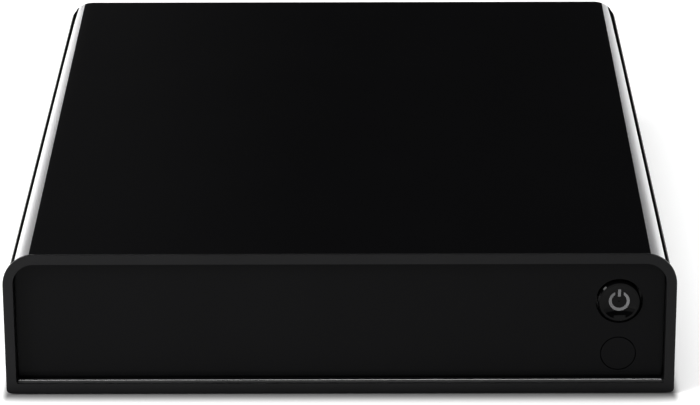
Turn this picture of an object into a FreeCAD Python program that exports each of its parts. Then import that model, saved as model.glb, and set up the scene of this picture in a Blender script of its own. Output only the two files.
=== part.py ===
"""Media player with a hard drive tray in its right side.

Millimetres. X runs to the right, Y from the front to the back, Z up. The origin is on the
table, under the middle of the whole player, from the face of its frame to the ends of the
round sockets behind.
"""
import FreeCAD, Part
import math
import os
import re

import Sketcher
from FreeCAD import Placement, Rotation, Vector

doc = FreeCAD.newDocument("MediaPlayer")
sheet = doc.addObject("Spreadsheet::Sheet", "Sizes")
driving = {
    # front frame
    "frame_width": 200.0,
    "frame_height": 44.4,
    "frame_lift": 0.5,  # from the table to the frame's lower edge
    "rail": 3.0,  # the frame's face at the top and the sides
    "sill_rail": 3.05,  # the frame's face along the bottom
    "lip": 1.0,  # thickness of the rim that stands proud of the body
    "lip_proud": 1.5,  # above and below the body
    "lip_side": 1.0,  # beyond the body on either side
    "frame_foot_radius": 1.4,
    "opening_corner": 6.3,
    "opening_foot_radius": 0.8,
    "recess": 4.3,  # from the frame's face to the panel's face
    "ledge": 2.0,  # width of the step that the panel sits on
    "ledge_thick": 2.0,
    "lug_width": 10.0,
    "lug_reach": 7.0,
    "lug_height": 5.0,
    "lug_place": 50.0,
    # front panel
    "panel_thick": 2.5,
    "panel_gap": 0.5,
    "strip_height": 0.45,
    "strip_width": 0.9,
    "strip_setback": 2.0,
    "strip_depth": 0.3,
    # body
    "body_depth": 256.0,
    "corner": 8.0,  # rounding of the body's two long upper edges
    "foot_corner": 1.0,
    "skin": 0.75,
    "flange_thick": 1.25,
    "shelf": 14.5,
    "trim_front": 6.6,  # from the body's side to the trim's inner edge, at the front
    "trim_rear": 5.1,
    "trim_outer": 2.15,
    "trim_flare": 5.0,  # length over which the trim widens to the seam's edge at the frame
    "seam_outer": 1.0,  # from the body's side to the far edge of the dark seam
    "tongue_width": 0.8,
    "tongue_place": 4.0,
    "tongue_drop": 2.6,
    "joint_gap": 0.05,
    "rear_setback": 0.6,
    "rear_thick": 1.0,
    "cover_tab_height": 7.0,
    "cover_tab_width": 14.0,
    "cover_tab_place": 40.0,
    "flange_height": 1.6,
    "floor_slots": 9,
    "floor_slot_width": 3.0,
    "floor_slot_length": 40.0,
    "floor_slot_pitch": 9.0,
    "floor_slot_setback": 59.5,  # from the back to the middle of the slots under the board
    # feet and screws
    "foot_radius": 7.0,
    "foot_place": 17.0,  # from the body's side
    "foot_setback": 24.0,
    "foot_stud_radius": 2.0,
    "foot_stud_height": 1.9,
    "foot_chamfer": 0.5,
    "screw_radius": 1.25,
    "screw_head_radius": 2.3,
    "screw_head_height": 1.2,
    "screw_length": 5.0,
    "screw_slot": 0.6,
    "screw_slot_depth": 0.6,
    "screw_gap": 0.1,
    "flange_screw_front": 41.0,  # from the frame's face
    "flange_screw_middle": 136.0,
    "flange_screw_back": 210.0,
    # power button
    "button_place": 16.7,  # from the frame's side
    "button_height": 28.3,  # above the table
    "button_radius": 6.4,
    "button_gap": 0.65,
    "button_rise": 0.9,  # the rim above the panel
    "button_dish": 12.0,  # radius of the hollow in its face
    "button_lip": 1.0,
    "button_edge": 0.4,
    "button_flange": 7.9,
    "button_flange_thick": 0.9,
    "button_play": 0.3,
    "button_travel": 0.5,
    "stem_radius": 1.6,
    "stem_gap": 0.06,
    "symbol_radius": 3.1,
    "symbol_line": 0.85,
    "symbol_depth": 0.5,
    "symbol_gap": 1.3,
    "symbol_bar_low": 1.3,
    "symbol_bar_high": 3.8,
    "guide_width": 21.0,
    "guide_tall": 5.6,
    "guide_thick": 1.5,
    "guide_post": 1.2,
    "switch_side": 6.0,
    "switch_deep": 3.4,
    "plunger_radius": 1.5,
    "plunger_proud": 0.7,
    # remote window
    "window_height": 11.4,
    "window_radius": 5.1,
    "window_gap": 0.3,
    "window_flange": 5.75,
    "window_flange_thick": 1.0,
    "receiver_width": 6.0,
    "receiver_tall": 7.0,
    "receiver_deep": 4.0,
    "receiver_lens": 2.4,
    "receiver_bulge": 1.2,
    "receiver_shift": 2.0,
    # front board
    "board_thick": 1.6,
    "front_board_from": 36.0,  # from the frame's side
    "front_board_to": 6.0,
    "front_board_low": 7.0,
    "front_board_high": 38.8,
    "front_board_setback": 16.0,
    "front_board_post": 2.0,
    "led_width": 1.6,
    "led_tall": 3.2,
    "led_deep": 0.8,
    # drive bay
    "bay_place": 25.1,  # from the frame's face to the drive cage
    "drive_length": 147.0,
    "drive_width": 101.6,
    "drive_height": 26.1,
    "drive_gap": 0.4,
    "tray_floor": 2.0,
    "tray_wall": 1.6,
    "tray_side_height": 13.0,
    "tray_front_thick": 3.5,
    "tray_tail": 3.0,
    "tray_window_length": 92.0,
    "tray_window_width": 74.0,
    "face_thick": 3.0,
    "face_gap": 0.4,
    "face_edge": 0.6,
    "slide_gap": 0.3,
    "cage_sheet": 0.7,
    "cage_head": 0.6,
    "cage_leg": 12.0,
    "cage_vents": 5,
    "cage_vent_width": 6.0,
    "cage_vent_length": 53.0,
    "cage_vent_pitch": 27.0,
    "cage_gate_low": 17.0,  # from the cage's ceiling down to the cable gate's lower edge
    "cage_gate_high": 3.0,
    "bay_board_width": 83.0,
    "bay_stud_half": 35.5,
    "bay_stud_inset": 3.0,
    "bay_stud_height": 1.0,
    "connector_room": 10.7,
    # tray lever
    "lever_length": 36.0,
    "lever_tall": 12.0,
    "lever_thick": 2.4,
    "lever_gap": 0.35,
    "lever_knuckle": 1.7,
    "lever_pin": 0.7,
    "pin_gap": 0.05,
    "pocket_depth": 4.6,
    "finger_room": 8.0,
    # hard drive
    "drive_lid_thick": 1.2,
    "drive_floor": 5.0,
    "drive_rim": 1.3,
    "drive_board_length": 70.0,
    "drive_board_width": 80.0,
    "drive_board_room": 1.9,
    "drive_cavity_room": 2.0,
    "platter_gap": 2.5,  # from the discs to the case around them
    "platter_thick": 1.3,
    "platter_hub": 12.0,
    "platter_space": 5.0,
    "spindle_radius": 4.0,
    "spindle_gap": 0.05,
    "arm_length": 50.0,
    "arm_park": 70.0,  # degrees from the drive's length to the parked arm
    "arm_width": 7.0,
    "arm_thick": 1.0,
    "arm_hub": 6.0,
    "arm_pivot": 3.0,
    "arm_back": 58.0,
    "arm_aside": 28.8,  # from the drive's side
    "arm_tail": 16.0,
    "sata_width": 33.0,
    "sata_height": 5.0,
    "sata_depth": 7.0,
    "sata_aside": 24.0,
    "sata_shroud": 1.0,
    "drive_hole_back": 41.3,
    "drive_hole_front": 29.5,
    "drive_hole_inset": 3.2,
    "arm_room_wall": 8.3,
    "arm_drop": 2.0,  # from the lowest disc down to the arm below it
    "arm_rise": 2.6,  # from a disc's underside up to the arm above it
    "lid_screw_inset": 4.0,
    "lid_screw_proud": 0.3,  # how far the heads stand above the drive's top
    # main board
    "board_lift": 5.4,
    "board_front": 8.1,  # from the drive cage
    "board_back": 4.4,  # from the rear panel
    "board_overhang": 0.5,  # over the side walls' flanges
    "board_tail": 36.0,  # from the rear standoffs to the board's back edge
    "standoff_radius": 2.6,
    "chip_side": 27.0,
    "chip_thick": 2.2,
    "chip_place": -8.0,
    "chip_setback": 45.0,
    "sink_side": 36.0,
    "sink_base": 2.5,
    "sink_height": 13.0,
    "sink_fin": 1.4,
    "sink_fins": 7,
    "memory_width": 11.0,
    "memory_length": 14.0,
    "memory_thick": 1.1,
    "memory_place": 24.4,  # middle of the first column of chips
    "memory_column": 16.8,
    "memory_row": 17.6,
    "capacitor_radius": 4.0,
    "capacitor_height": 12.0,
    "capacitor_pitch": 12.0,
    "capacitor_inset": 14.0,
    "corner_inset": 4.5,
    # rear sockets
    "socket_gap": 0.25,
    "socket_proud": 0.4,
    "rca_radius": 4.15,
    "rca_ring": 5.0,
    "rca_ring_thick": 1.2,
    "rca_bore": 1.6,
    "rca_reach": 8.6,  # beyond the rear panel
    "rca_pitch": 13.0,
    "rca_block_depth": 12.0,
    "rca_block_height": 13.0,
    "rca_place": 28.0,
    "hdmi_width": 15.2,
    "hdmi_height": 6.4,
    "hdmi_depth": 12.0,
    "hdmi_wall": 0.5,
    "hdmi_mouth_depth": 9.0,
    "hdmi_tongue_width": 10.6,
    "hdmi_tongue_thick": 1.6,
    "tongue_setback": 1.5,
    "hdmi_place": -4.0,
    "lan_width": 16.2,
    "lan_height": 13.6,
    "lan_depth": 21.0,
    "lan_mouth_width": 11.9,
    "lan_mouth_height": 7.2,
    "lan_mouth_depth": 12.0,
    "lan_catch_width": 6.0,
    "lan_catch_drop": 1.8,
    "lan_catch_depth": 6.0,
    "lan_place": -24.0,
    "usb_width": 13.4,
    "usb_height": 15.8,
    "usb_depth": 17.0,
    "usb_wall": 0.4,
    "usb_mouth_height": 5.1,
    "usb_mouth_depth": 12.0,
    "usb_tongue_width": 10.8,
    "usb_tongue_thick": 1.9,
    "usb_tongue_drop": 0.5,  # from the mouth's ceiling to the tongue
    "usb_place": -43.0,
    "optical_side": 9.8,
    "optical_depth": 13.0,
    "optical_mouth": 6.0,
    "optical_place": 9.0,
    "power_side": 9.4,
    "power_height": 11.0,
    "power_depth": 13.5,
    "power_bore": 3.15,
    "power_pin": 1.0,
    "power_bore_depth": 10.8,
    "power_place": 76.0,
    # fan
    "fan_side": 30.0,
    "fan_depth": 8.0,
    "fan_place": -70.0,
    "fan_clearance": 0.6,
    "fan_bore": 14.0,
    "fan_hub": 7.0,
    "fan_blades": 7,
    "fan_blade_thick": 0.9,
    "fan_blade_pitch": 38.0,
    "fan_tip_gap": 0.6,
    "fan_shaft": 1.2,
    "fan_hole": 12.0,
    "fan_ribs": 5,
    "fan_rib_pitch": 4.8,
    "fan_strut": 1.5,
    # inner cables
    "ribbon_inset": 1.5,
    "ribbon_width": 10.0,
    "ribbon_thick": 0.5,
    "ribbon_bend": 2.5,
    "ribbon_plug": 6.0,
    "plug_depth": 4.0,
    "data_width": 7.0,
    "data_thick": 1.2,
    "data_plug_width": 12.0,
    "data_plug_place": 20.0,
}
for row, (alias, number) in enumerate(driving.items(), start=1):
    sheet.set(f"A{row}", alias.replace("_", " "))
    sheet.set(f"B{row}", str(number))
    sheet.setAlias(f"B{row}", alias)
sheet.recompute()
derived = {}
nodes = {}
axes = {}  # a point on each joint's axis, and each opening, for the printed summary


def derive(**formulas):
    """Names lengths that follow from the driving ones."""
    derived.update(formulas)


def expand(text):
    """Turns a formula in plain names into one that reads the sheet's cells."""
    def cell(match):
        name = match.group()
        if name in driving:
            return f"Sizes.{name}"
        if name in derived:
            return f"({expand(derived[name])})"
        return name

    return re.sub(r"[a-z][a-z_]*", cell, str(text))


def value(text):
    """The present value of a formula."""
    return float(sheet.evalExpression(expand(text)))


derive(
    front="-(body_depth - rear_setback + rca_reach) / 2",
    rear="front + body_depth",
    rear_face="rear - rear_setback",
    rear_inner="rear_face - rear_thick",
    body_half="frame_width / 2 - lip_side",
    body_low="frame_lift + lip_proud",
    body_top="frame_lift + frame_height - lip_proud",
    inside_half="body_half - skin - flange_thick",
    skin_half="body_half - skin",
    floor_top="body_low + skin",
    flange_top="floor_top + flange_height",
    button_x="frame_width / 2 - button_place",
    front_board_left="frame_width / 2 - front_board_from",
    front_board_right="frame_width / 2 - front_board_to",
    panel_face="front + recess",
    panel_back="panel_face + panel_thick",
    neck_back="panel_back + ledge_thick",
    opening_half="frame_width / 2 - rail",
    opening_low="frame_lift + sill_rail",
    opening_top="frame_lift + frame_height - rail",
    cage_low="flange_top + joint_gap",
    cage_floor="cage_low + cage_sheet",
    tray_low="cage_floor + slide_gap",
    drive_low="tray_low + tray_floor",
    drive_top="drive_low + drive_height",
    cage_ceiling="drive_top + cage_head",
    cage_top="cage_ceiling + cage_sheet",
    tray_half="drive_width / 2 + drive_gap + tray_wall",
    cage_half="tray_half + drive_gap",
    bay_middle="front + bay_place + cage_sheet + cage_half",
    cage_back="bay_middle + cage_half + cage_sheet",
    face_inner="body_half - face_thick",
    drive_right="face_inner - tray_front_thick - joint_gap",
    drive_left="drive_right - drive_length",
    cage_left="drive_left - connector_room - cage_sheet",
    face_half="tray_half + face_gap / 2",
    face_bottom="cage_floor + face_gap",
    face_top="cage_ceiling - face_gap",
    drive_hole_half="drive_width / 2 - drive_hole_inset",
    board_low="floor_top + board_lift",
    board_half="body_half - shelf + board_overhang",
    board_top="board_low + board_thick",
    fan_height="board_top + fan_clearance + fan_side / 2",
    tab_middle="body_top - skin - cover_tab_height / 2",
)


def block(name, x, y, z):
    """A box between two formulas along each axis."""
    solid = doc.addObject("Part::Box", name)
    for length, axis, (low, high) in (("Length", "x", x), ("Width", "y", y), ("Height", "z", z)):
        solid.setExpression(length, expand(f"({high}) - ({low})"))
        solid.setExpression(f"Placement.Base.{axis}", expand(low))
    return solid


def tapered(name, widths, y, z):
    """A block whose two ends along X differ at the front and at the back."""
    solid = doc.addObject("Part::Wedge", name)
    ends = {
        "Ymin": y[0], "Ymax": y[1],
        "Xmin": widths[0][0], "Xmax": widths[0][1], "X2min": widths[1][0], "X2max": widths[1][1],
        "Zmin": z[0], "Zmax": z[1], "Z2min": z[0], "Z2max": z[1],
    }
    for end, formula in ends.items():
        solid.setExpression(end, expand(formula))
    return solid


def centred(middle, size):
    """The two ends of a length about its middle."""
    return (f"({middle}) - ({size}) / 2", f"({middle}) + ({size}) / 2")


TURNS = {
    "x": Rotation(Vector(0, 1, 0), 90),
    "y": Rotation(Vector(1, 0, 0), -90),
    "z": Rotation(),
}


def rod(name, axis, radius, across, span):
    """A cylinder along an axis; across gives its two other coordinates in order."""
    solid = doc.addObject("Part::Cylinder", name)
    solid.Placement = Placement(Vector(), TURNS[axis])
    solid.setExpression("Radius", expand(radius))
    solid.setExpression("Height", expand(f"({span[1]}) - ({span[0]})"))
    solid.setExpression(f"Placement.Base.{axis}", expand(span[0]))
    for other, place in zip([a for a in "xyz" if a != axis], across):
        solid.setExpression(f"Placement.Base.{other}", expand(place))
    return solid


def swung_bar(name, pivot, angle, tail, length, width, z):
    """A bar with a tail behind its pivot and a length ahead, turned about the pivot."""
    solid = doc.addObject("Part::Box", name)
    solid.Placement = Placement(Vector(), Rotation(Vector(0, 0, 1), value(angle)))
    solid.setExpression("Length", expand(f"({tail}) + ({length})"))
    solid.setExpression("Width", expand(width))
    solid.setExpression("Height", expand(f"({z[1]}) - ({z[0]})"))
    solid.setExpression("Placement.Base.x", expand(
        f"({pivot[0]}) - ({tail}) * cos({angle}) + ({width}) / 2 * sin({angle})"))
    solid.setExpression("Placement.Base.y", expand(
        f"({pivot[1]}) - ({tail}) * sin({angle}) - ({width}) / 2 * cos({angle})"))
    solid.setExpression("Placement.Base.z", expand(z[0]))
    return solid


def union(name, *solids):
    joined = doc.addObject("Part::MultiFuse", name)
    joined.Shapes = list(solids)
    joined.Refine = True
    return joined


def cut(name, base, *tools):
    result = doc.addObject("Part::Cut", name)
    result.Base = base
    result.Tool = tools[0] if len(tools) == 1 else union(f"{name}_tools", *tools)
    result.Refine = True
    return result


def common(name, first, second):
    shared = doc.addObject("Part::Common", name)
    shared.Base = first
    shared.Tool = second
    shared.Refine = True
    return shared


def group(name, *solids):
    """Separate solids that share one node."""
    together = doc.addObject("Part::Compound", name)
    together.Links = list(solids)
    return together


def mirrored(name, source):
    """The same piece on the other side of the player."""
    image = doc.addObject("Part::Mirroring", name)
    image.Source = source
    image.Normal = Vector(1, 0, 0)
    return image


def keep(node, solid):
    """Names a finished piece; the name is its node's."""
    solid.Label = node
    nodes[node] = solid
    return solid


def outline(body, name, half, low, high, top_radius, foot_radius, y):
    """A sketch seen from the front: a rectangle about the middle with rounded corners."""
    sketch = body.newObject("Sketcher::SketchObject", name)
    plane = next(f for f in body.Origin.OriginFeatures if f.Role == "XZ_Plane")
    sketch.AttachmentSupport = [(plane, "")]
    sketch.MapMode = "FlatFace"
    sketch.setExpression("AttachmentOffset.Base.z", expand(f"-({y})"))
    w, b, t = value(half), value(low), value(high)
    upper, lower = value(top_radius), value(foot_radius)
    quarter = math.pi / 2

    def arc(x, z, radius, turn):
        circle = Part.Circle(Vector(x, z, 0), Vector(0, 0, 1), radius)
        return Part.ArcOfCircle(circle, turn * quarter, (turn + 1) * quarter)

    def line(x1, z1, x2, z2):
        return Part.LineSegment(Vector(x1, z1, 0), Vector(x2, z2, 0))

    sketch.addGeometry([
        line(-w + lower, b, w - lower, b),
        arc(w - lower, b + lower, lower, 3),
        line(w, b + lower, w, t - upper),
        arc(w - upper, t - upper, upper, 0),
        line(w - upper, t, -w + upper, t),
        arc(-w + upper, t - upper, upper, 1),
        line(-w, t - upper, -w, b + lower),
        arc(-w + lower, b + lower, lower, 2),
    ])
    rule = Sketcher.Constraint
    sketch.addConstraint([rule("Tangent", i, 2, (i + 1) % 8, 1) for i in range(8)])
    sketch.addConstraint([rule("Horizontal", 0), rule("Horizontal", 4)])
    sketch.addConstraint([rule("Vertical", 2), rule("Vertical", 6)])
    named = (
        ("low", rule("DistanceY", -1, 1, 0, 1, b), low),
        ("high", rule("DistanceY", -1, 1, 4, 1, t), high),
        ("right", rule("DistanceX", -1, 1, 2, 1, w), half),
        ("left", rule("DistanceX", 6, 1, -1, 1, w), half),
        ("right_foot", rule("Radius", 1, lower), foot_radius),
        ("right_top", rule("Radius", 3, upper), top_radius),
        ("left_top", rule("Radius", 5, upper), top_radius),
        ("left_foot", rule("Radius", 7, lower), foot_radius),
    )
    for title, constraint, formula in named:
        index = sketch.addConstraint(constraint)
        sketch.renameConstraint(index, title)
        sketch.setExpression(f"Constraints.{title}", expand(formula))
    return sketch


def padded(body, sketch, length):
    """Raises a sketch towards the back."""
    pad = body.newObject("PartDesign::Pad", f"{sketch.Name}_pad")
    pad.Profile = sketch
    pad.Reversed = True
    pad.setExpression("Length", expand(length))
    sketch.Visibility = False
    return pad


def pocketed(body, sketch, length):
    """Sinks a sketch towards the back."""
    pocket = body.newObject("PartDesign::Pocket", f"{sketch.Name}_pocket")
    pocket.Profile = sketch
    pocket.setExpression("Length", expand(length))
    return pocket


def sleeve_solid(name, inset, y, low=None):
    """A full block of the body's cross-section, its outline moved inwards by an inset."""
    body = doc.addObject("PartDesign::Body", name)
    sketch = outline(
        body,
        f"{name}_outline",
        f"body_half - ({inset})",
        low or f"body_low + ({inset})",
        f"body_top - ({inset})",
        f"corner - ({inset})",
        "foot_corner",
        y[0],
    )
    padded(body, sketch, f"({y[1]}) - ({y[0]})")
    return body


def lathed(name, place, height, dish, edge, points):
    """A piece turned about an axis that runs front to back, with a hollowed face.

    The dish has a radius and a depth of its middle behind the frame's face, and ends at the
    edge radius; points are the radius and the depth of each corner after it.
    """
    body = doc.addObject("PartDesign::Body", name)
    sketch = body.newObject("Sketcher::SketchObject", f"{name}_profile")
    plane = next(f for f in body.Origin.OriginFeatures if f.Role == "XY_Plane")
    sketch.AttachmentSupport = [(plane, "")]
    sketch.MapMode = "FlatFace"
    radius, depth = dish
    round_radius, bottom, reach = value(radius), value(depth), value(edge)
    sweep = math.asin(reach / round_radius)
    centre = Vector(0, bottom - round_radius, 0)
    rim = Vector(reach, centre.y + round_radius * math.cos(sweep), 0)
    circle = Part.Circle(centre, Vector(0, 0, 1), round_radius)
    arc = Part.ArcOfCircle(circle, math.pi / 2 - sweep, math.pi / 2)
    corners = [rim] + [Vector(value(r), value(y), 0) for r, y in points]
    lines = [Part.LineSegment(a, b) for a, b in zip(corners, corners[1:])]
    lines.append(Part.LineSegment(corners[-1], Vector(0, bottom, 0)))
    sketch.addGeometry([arc, *lines])
    rule = Sketcher.Constraint
    last = len(lines)
    sketch.addConstraint([rule("Coincident", i, 2, i + 1, 1) for i in range(1, last)])
    sketch.addConstraint([rule("Coincident", 0, 1, 1, 1), rule("Coincident", last, 2, 0, 2)])
    sketch.addConstraint([rule("PointOnObject", 0, 3, -2), rule("PointOnObject", 0, 2, -2)])
    named = [
        ("dish", rule("Radius", 0, round_radius), radius),
        ("bottom", rule("DistanceY", -1, 1, 0, 2, bottom), depth),
        ("edge", rule("DistanceX", -1, 1, 0, 1, reach), edge),
    ]
    for number, (across, along) in enumerate(points):
        y = value(along)
        named.append((f"along_{number}", rule("DistanceY", -1, 1, number + 1, 2, y), along))
        if across == "0":
            sketch.addConstraint(rule("PointOnObject", number + 1, 2, -2))
        else:
            x = value(across)
            named.append((f"across_{number}", rule("DistanceX", -1, 1, number + 1, 2, x), across))
    for title, constraint, formula in named:
        index = sketch.addConstraint(constraint)
        sketch.renameConstraint(index, title)
        sketch.setExpression(f"Constraints.{title}", expand(formula))
    turned = body.newObject("PartDesign::Revolution", f"{name}_turned")
    turned.Profile = sketch
    turned.ReferenceAxis = (sketch, ["V_Axis"])
    turned.Angle = 360
    body.setExpression("Placement.Base.x", expand(place))
    body.setExpression("Placement.Base.y", expand("front"))
    body.setExpression("Placement.Base.z", expand(height))
    return body


def screw(name, axis, across, seat, towards, length="screw_length"):
    """A pan-head screw; its head rests on the seat and its shank runs towards one side."""
    away = "-" if towards > 0 else "+"
    ahead = "+" if towards > 0 else "-"
    crown = f"({seat}) {away} screw_head_height"
    end = f"({seat}) {ahead} {length}"
    dip = f"({crown}) {ahead} screw_slot_depth"
    head = (crown, seat) if towards > 0 else (seat, crown)
    shank = (seat, end) if towards > 0 else (end, seat)
    slot = (crown, dip) if towards > 0 else (dip, crown)
    solid = union(
        f"{name}_blank",
        rod(f"{name}_head", axis, "screw_head_radius", across, head),
        rod(f"{name}_shank", axis, "screw_radius", across, shank),
    )
    arms = []
    for turn in (0, 1):
        widths = ["screw_slot", "screw_head_radius * 1.3"]
        spans = {axis: slot}
        others = [a for a in "xyz" if a != axis]
        for number, other in enumerate(others):
            spans[other] = centred(across[number], widths[(number + turn) % 2])
        arms.append(block(f"{name}_slot_{turn}", spans["x"], spans["y"], spans["z"]))
    return cut(name, solid, *arms)


def screw_hole(name, axis, across, span):
    return rod(name, axis, "screw_radius + screw_gap", across, span)


# ---------------------------------------------------------------- front frame and panel
def make_front():
    frame = doc.addObject("PartDesign::Body", "frame_body")
    rim = outline(
        frame, "rim", "frame_width / 2", "frame_lift", "frame_lift + frame_height",
        "corner + lip_proud", "frame_foot_radius", "front",
    )
    padded(frame, rim, "lip")
    neck = outline(
        frame, "neck", "skin_half - joint_gap", "floor_top + joint_gap",
        "body_top - skin - joint_gap", "corner - skin - joint_gap", "foot_corner",
        "front + lip / 2",
    )
    padded(frame, neck, "neck_back - front - lip / 2")
    mouth = outline(
        frame, "mouth", "opening_half", "opening_low", "opening_top",
        "opening_corner", "opening_foot_radius", "front",
    )
    pocketed(frame, mouth, "recess + panel_thick")
    window = outline(
        frame, "window", "opening_half - ledge", "opening_low + ledge", "opening_top - ledge",
        "opening_corner - ledge", "opening_foot_radius", "front",
    )
    pocketed(frame, window, "neck_back - front + lip")
    doc.recompute()
    lugs = []
    holes = []
    for side, mark in (("left", "-"), ("right", "")):
        place = f"{mark}lug_place"
        middle = "neck_back + lug_reach / 2"
        low = "floor_top + joint_gap"
        lugs.append(block(
            f"lug_{side}", centred(place, "lug_width"), ("panel_back", "neck_back + lug_reach"),
            (low, f"{low} + lug_height"),
        ))
        holes.append(screw_hole(
            f"lug_hole_{side}", "z", (place, middle), (low, f"{low} + lug_height"),
        ))
    groove = block(
        "strip_groove",
        ("-opening_half + panel_gap", "opening_half - panel_gap"),
        ("front + strip_setback", "front + strip_setback + strip_width"),
        ("opening_low - strip_depth", "opening_low + rail"),
    )
    keep("front_frame", cut("frame", union("frame_with_lugs", frame, *lugs), groove, *holes))
    keep("sill_strip", block(
        "strip",
        ("-opening_half + panel_gap", "opening_half - panel_gap"),
        ("front + strip_setback", "front + strip_setback + strip_width"),
        ("opening_low - strip_depth", "opening_low + strip_height"),
    ))

    panel = doc.addObject("PartDesign::Body", "panel_body")
    sheet_outline = outline(
        panel, "panel_outline", "opening_half - panel_gap", "opening_low + panel_gap",
        "opening_top - panel_gap", "opening_corner - panel_gap", "opening_foot_radius",
        "panel_face",
    )
    padded(panel, sheet_outline, "panel_thick")
    through = ("panel_face - lip", "panel_back + lip")
    button_spot = ("button_x", "button_height")
    window_spot = ("button_x", "window_height")
    keep("front_panel", cut(
        "panel", panel,
        rod("button_hole", "y", "button_radius + button_gap", button_spot, through),
        rod("window_hole", "y", "window_radius + window_gap", window_spot, through),
    ))

    # The cap has a hollow for a fingertip, and a flange that holds it behind the panel.
    cap_face = "recess - button_rise"
    dish_edge = "button_radius - button_lip"
    dish_bottom = f"{cap_face} + button_dish - sqrt(button_dish^2 - ({dish_edge})^2)"
    flange_face = "recess + panel_thick + button_play"
    flange_back = f"{flange_face} + button_flange_thick"
    stem_back = "front_board_setback - switch_deep - plunger_proud"
    flange_end = f"front + {flange_back}"
    cap = lathed(
        "cap", "button_x", "button_height", ("button_dish", dish_bottom), dish_edge,
        [("button_radius - button_edge", cap_face),
         ("button_radius", f"{cap_face} + button_edge"),
         ("button_radius", flange_face), ("button_flange", flange_face),
         ("button_flange", flange_back), ("stem_radius", flange_back),
         ("stem_radius", stem_back), ("0", stem_back)],
    )
    depth = ("front", f"front + {dish_bottom} + symbol_depth")
    ring = cut(
        "symbol_ring",
        rod("symbol_disc", "y", "symbol_radius", button_spot, depth),
        rod("symbol_core", "y", "symbol_radius - symbol_line", button_spot, depth),
        block("symbol_break", centred("button_x", "symbol_gap * 2"), depth,
              ("button_height", "button_height + button_radius")),
    )
    bar = block(
        "symbol_bar", centred("button_x", "symbol_line"), depth,
        ("button_height + symbol_bar_low", "button_height + symbol_bar_high"),
    )
    mark = union("symbol_shape", ring, bar)
    keep("power_symbol", common("symbol", cap, mark))
    keep("power_button", cut("button", cap, mark))
    guide_face = f"{flange_end} + button_travel + button_play"
    guide_span = (guide_face, f"{guide_face} + guide_thick")
    posts = []
    for side in ("-", "+"):
        for level in ("-", "+"):
            posts.append(rod(
                f"guide_post_{len(posts)}", "y", "guide_post",
                (f"button_x {side} (guide_width / 2 - guide_post)",
                 f"button_height {level} (guide_tall / 2 - guide_post)"),
                ("panel_back", guide_face),
            ))
    keep("button_guide", cut(
        "guide",
        union(
            "guide_blank",
            block("guide_plate", centred("button_x", "guide_width"), guide_span,
                  centred("button_height", "guide_tall")),
            *posts,
        ),
        rod("guide_bore", "y", "stem_radius + stem_gap", button_spot, guide_span),
    ))
    keep("ir_window", union(
        "window_blank",
        rod("window_disc", "y", "window_radius", window_spot, ("panel_face", "panel_back")),
        rod("window_rim", "y", "window_flange", window_spot,
            ("panel_back", "panel_back + window_flange_thick")),
    ))


# ---------------------------------------------------------------- front board
def make_front_board():
    board_face = "front + front_board_setback"
    board_span = (board_face, f"{board_face} + board_thick")
    posts = []
    holes = []
    corners = []
    for x in ("front_board_left + front_board_post", "front_board_right - front_board_post"):
        for z in ("front_board_low + front_board_post", "front_board_high - front_board_post"):
            corners.append((x, z))
    for number, corner in enumerate(corners):
        posts.append(rod(
            f"board_post_{number}", "y", "front_board_post", corner, ("panel_back", board_face),
        ))
        holes.append(screw_hole(
            f"board_post_hole_{number}", "y", corner,
            (f"{board_face} - screw_length", board_face),
        ))
    keep("front_board_posts", cut("board_posts", group("board_post_rods", *posts), *holes))
    keep("front_board", cut(
        "front_board_cut",
        block("front_board_blank", ("front_board_left", "front_board_right"), board_span,
              ("front_board_low", "front_board_high")),
        *[screw_hole(f"front_board_hole_{n}", "y", c, board_span)
          for n, c in enumerate(corners)],
    ))
    screws = [screw(f"front_board_screw_{n}", "y", c, board_span[1], -1)
              for n, c in enumerate(corners)]
    spot = ("button_x", "button_height")
    switch_span = (f"{board_face} - switch_deep", board_face)
    plunger_face = f"{board_face} - switch_deep - plunger_proud"
    pit = (f"{board_face} - switch_deep", f"{board_face} - board_thick / 4")
    keep("tact_switch", cut(
        "switch",
        block("switch_blank", centred("button_x", "switch_side"), switch_span,
              centred("button_height", "switch_side")),
        rod("switch_pit", "y", "plunger_radius + stem_gap", spot, pit),
    ))
    keep("switch_plunger", rod(
        "plunger", "y", "plunger_radius", spot,
        (plunger_face, f"{pit[1]} - button_travel - button_play"),
    ))
    keep("ir_receiver", union(
        "receiver_blank",
        block("receiver_body", centred("button_x", "receiver_width"),
              (f"{board_face} - receiver_deep", board_face),
              centred("window_height + receiver_shift", "receiver_tall")),
        rod("receiver_lens", "y", "receiver_lens", ("button_x", "window_height"),
            (f"{board_face} - receiver_deep - receiver_bulge", board_face)),
    ))
    keep("status_led", block(
        "led", centred("button_x + switch_side", "led_width"),
        (f"{board_face} - led_deep", board_face), centred("button_height", "led_tall"),
    ))
    return screws


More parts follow.
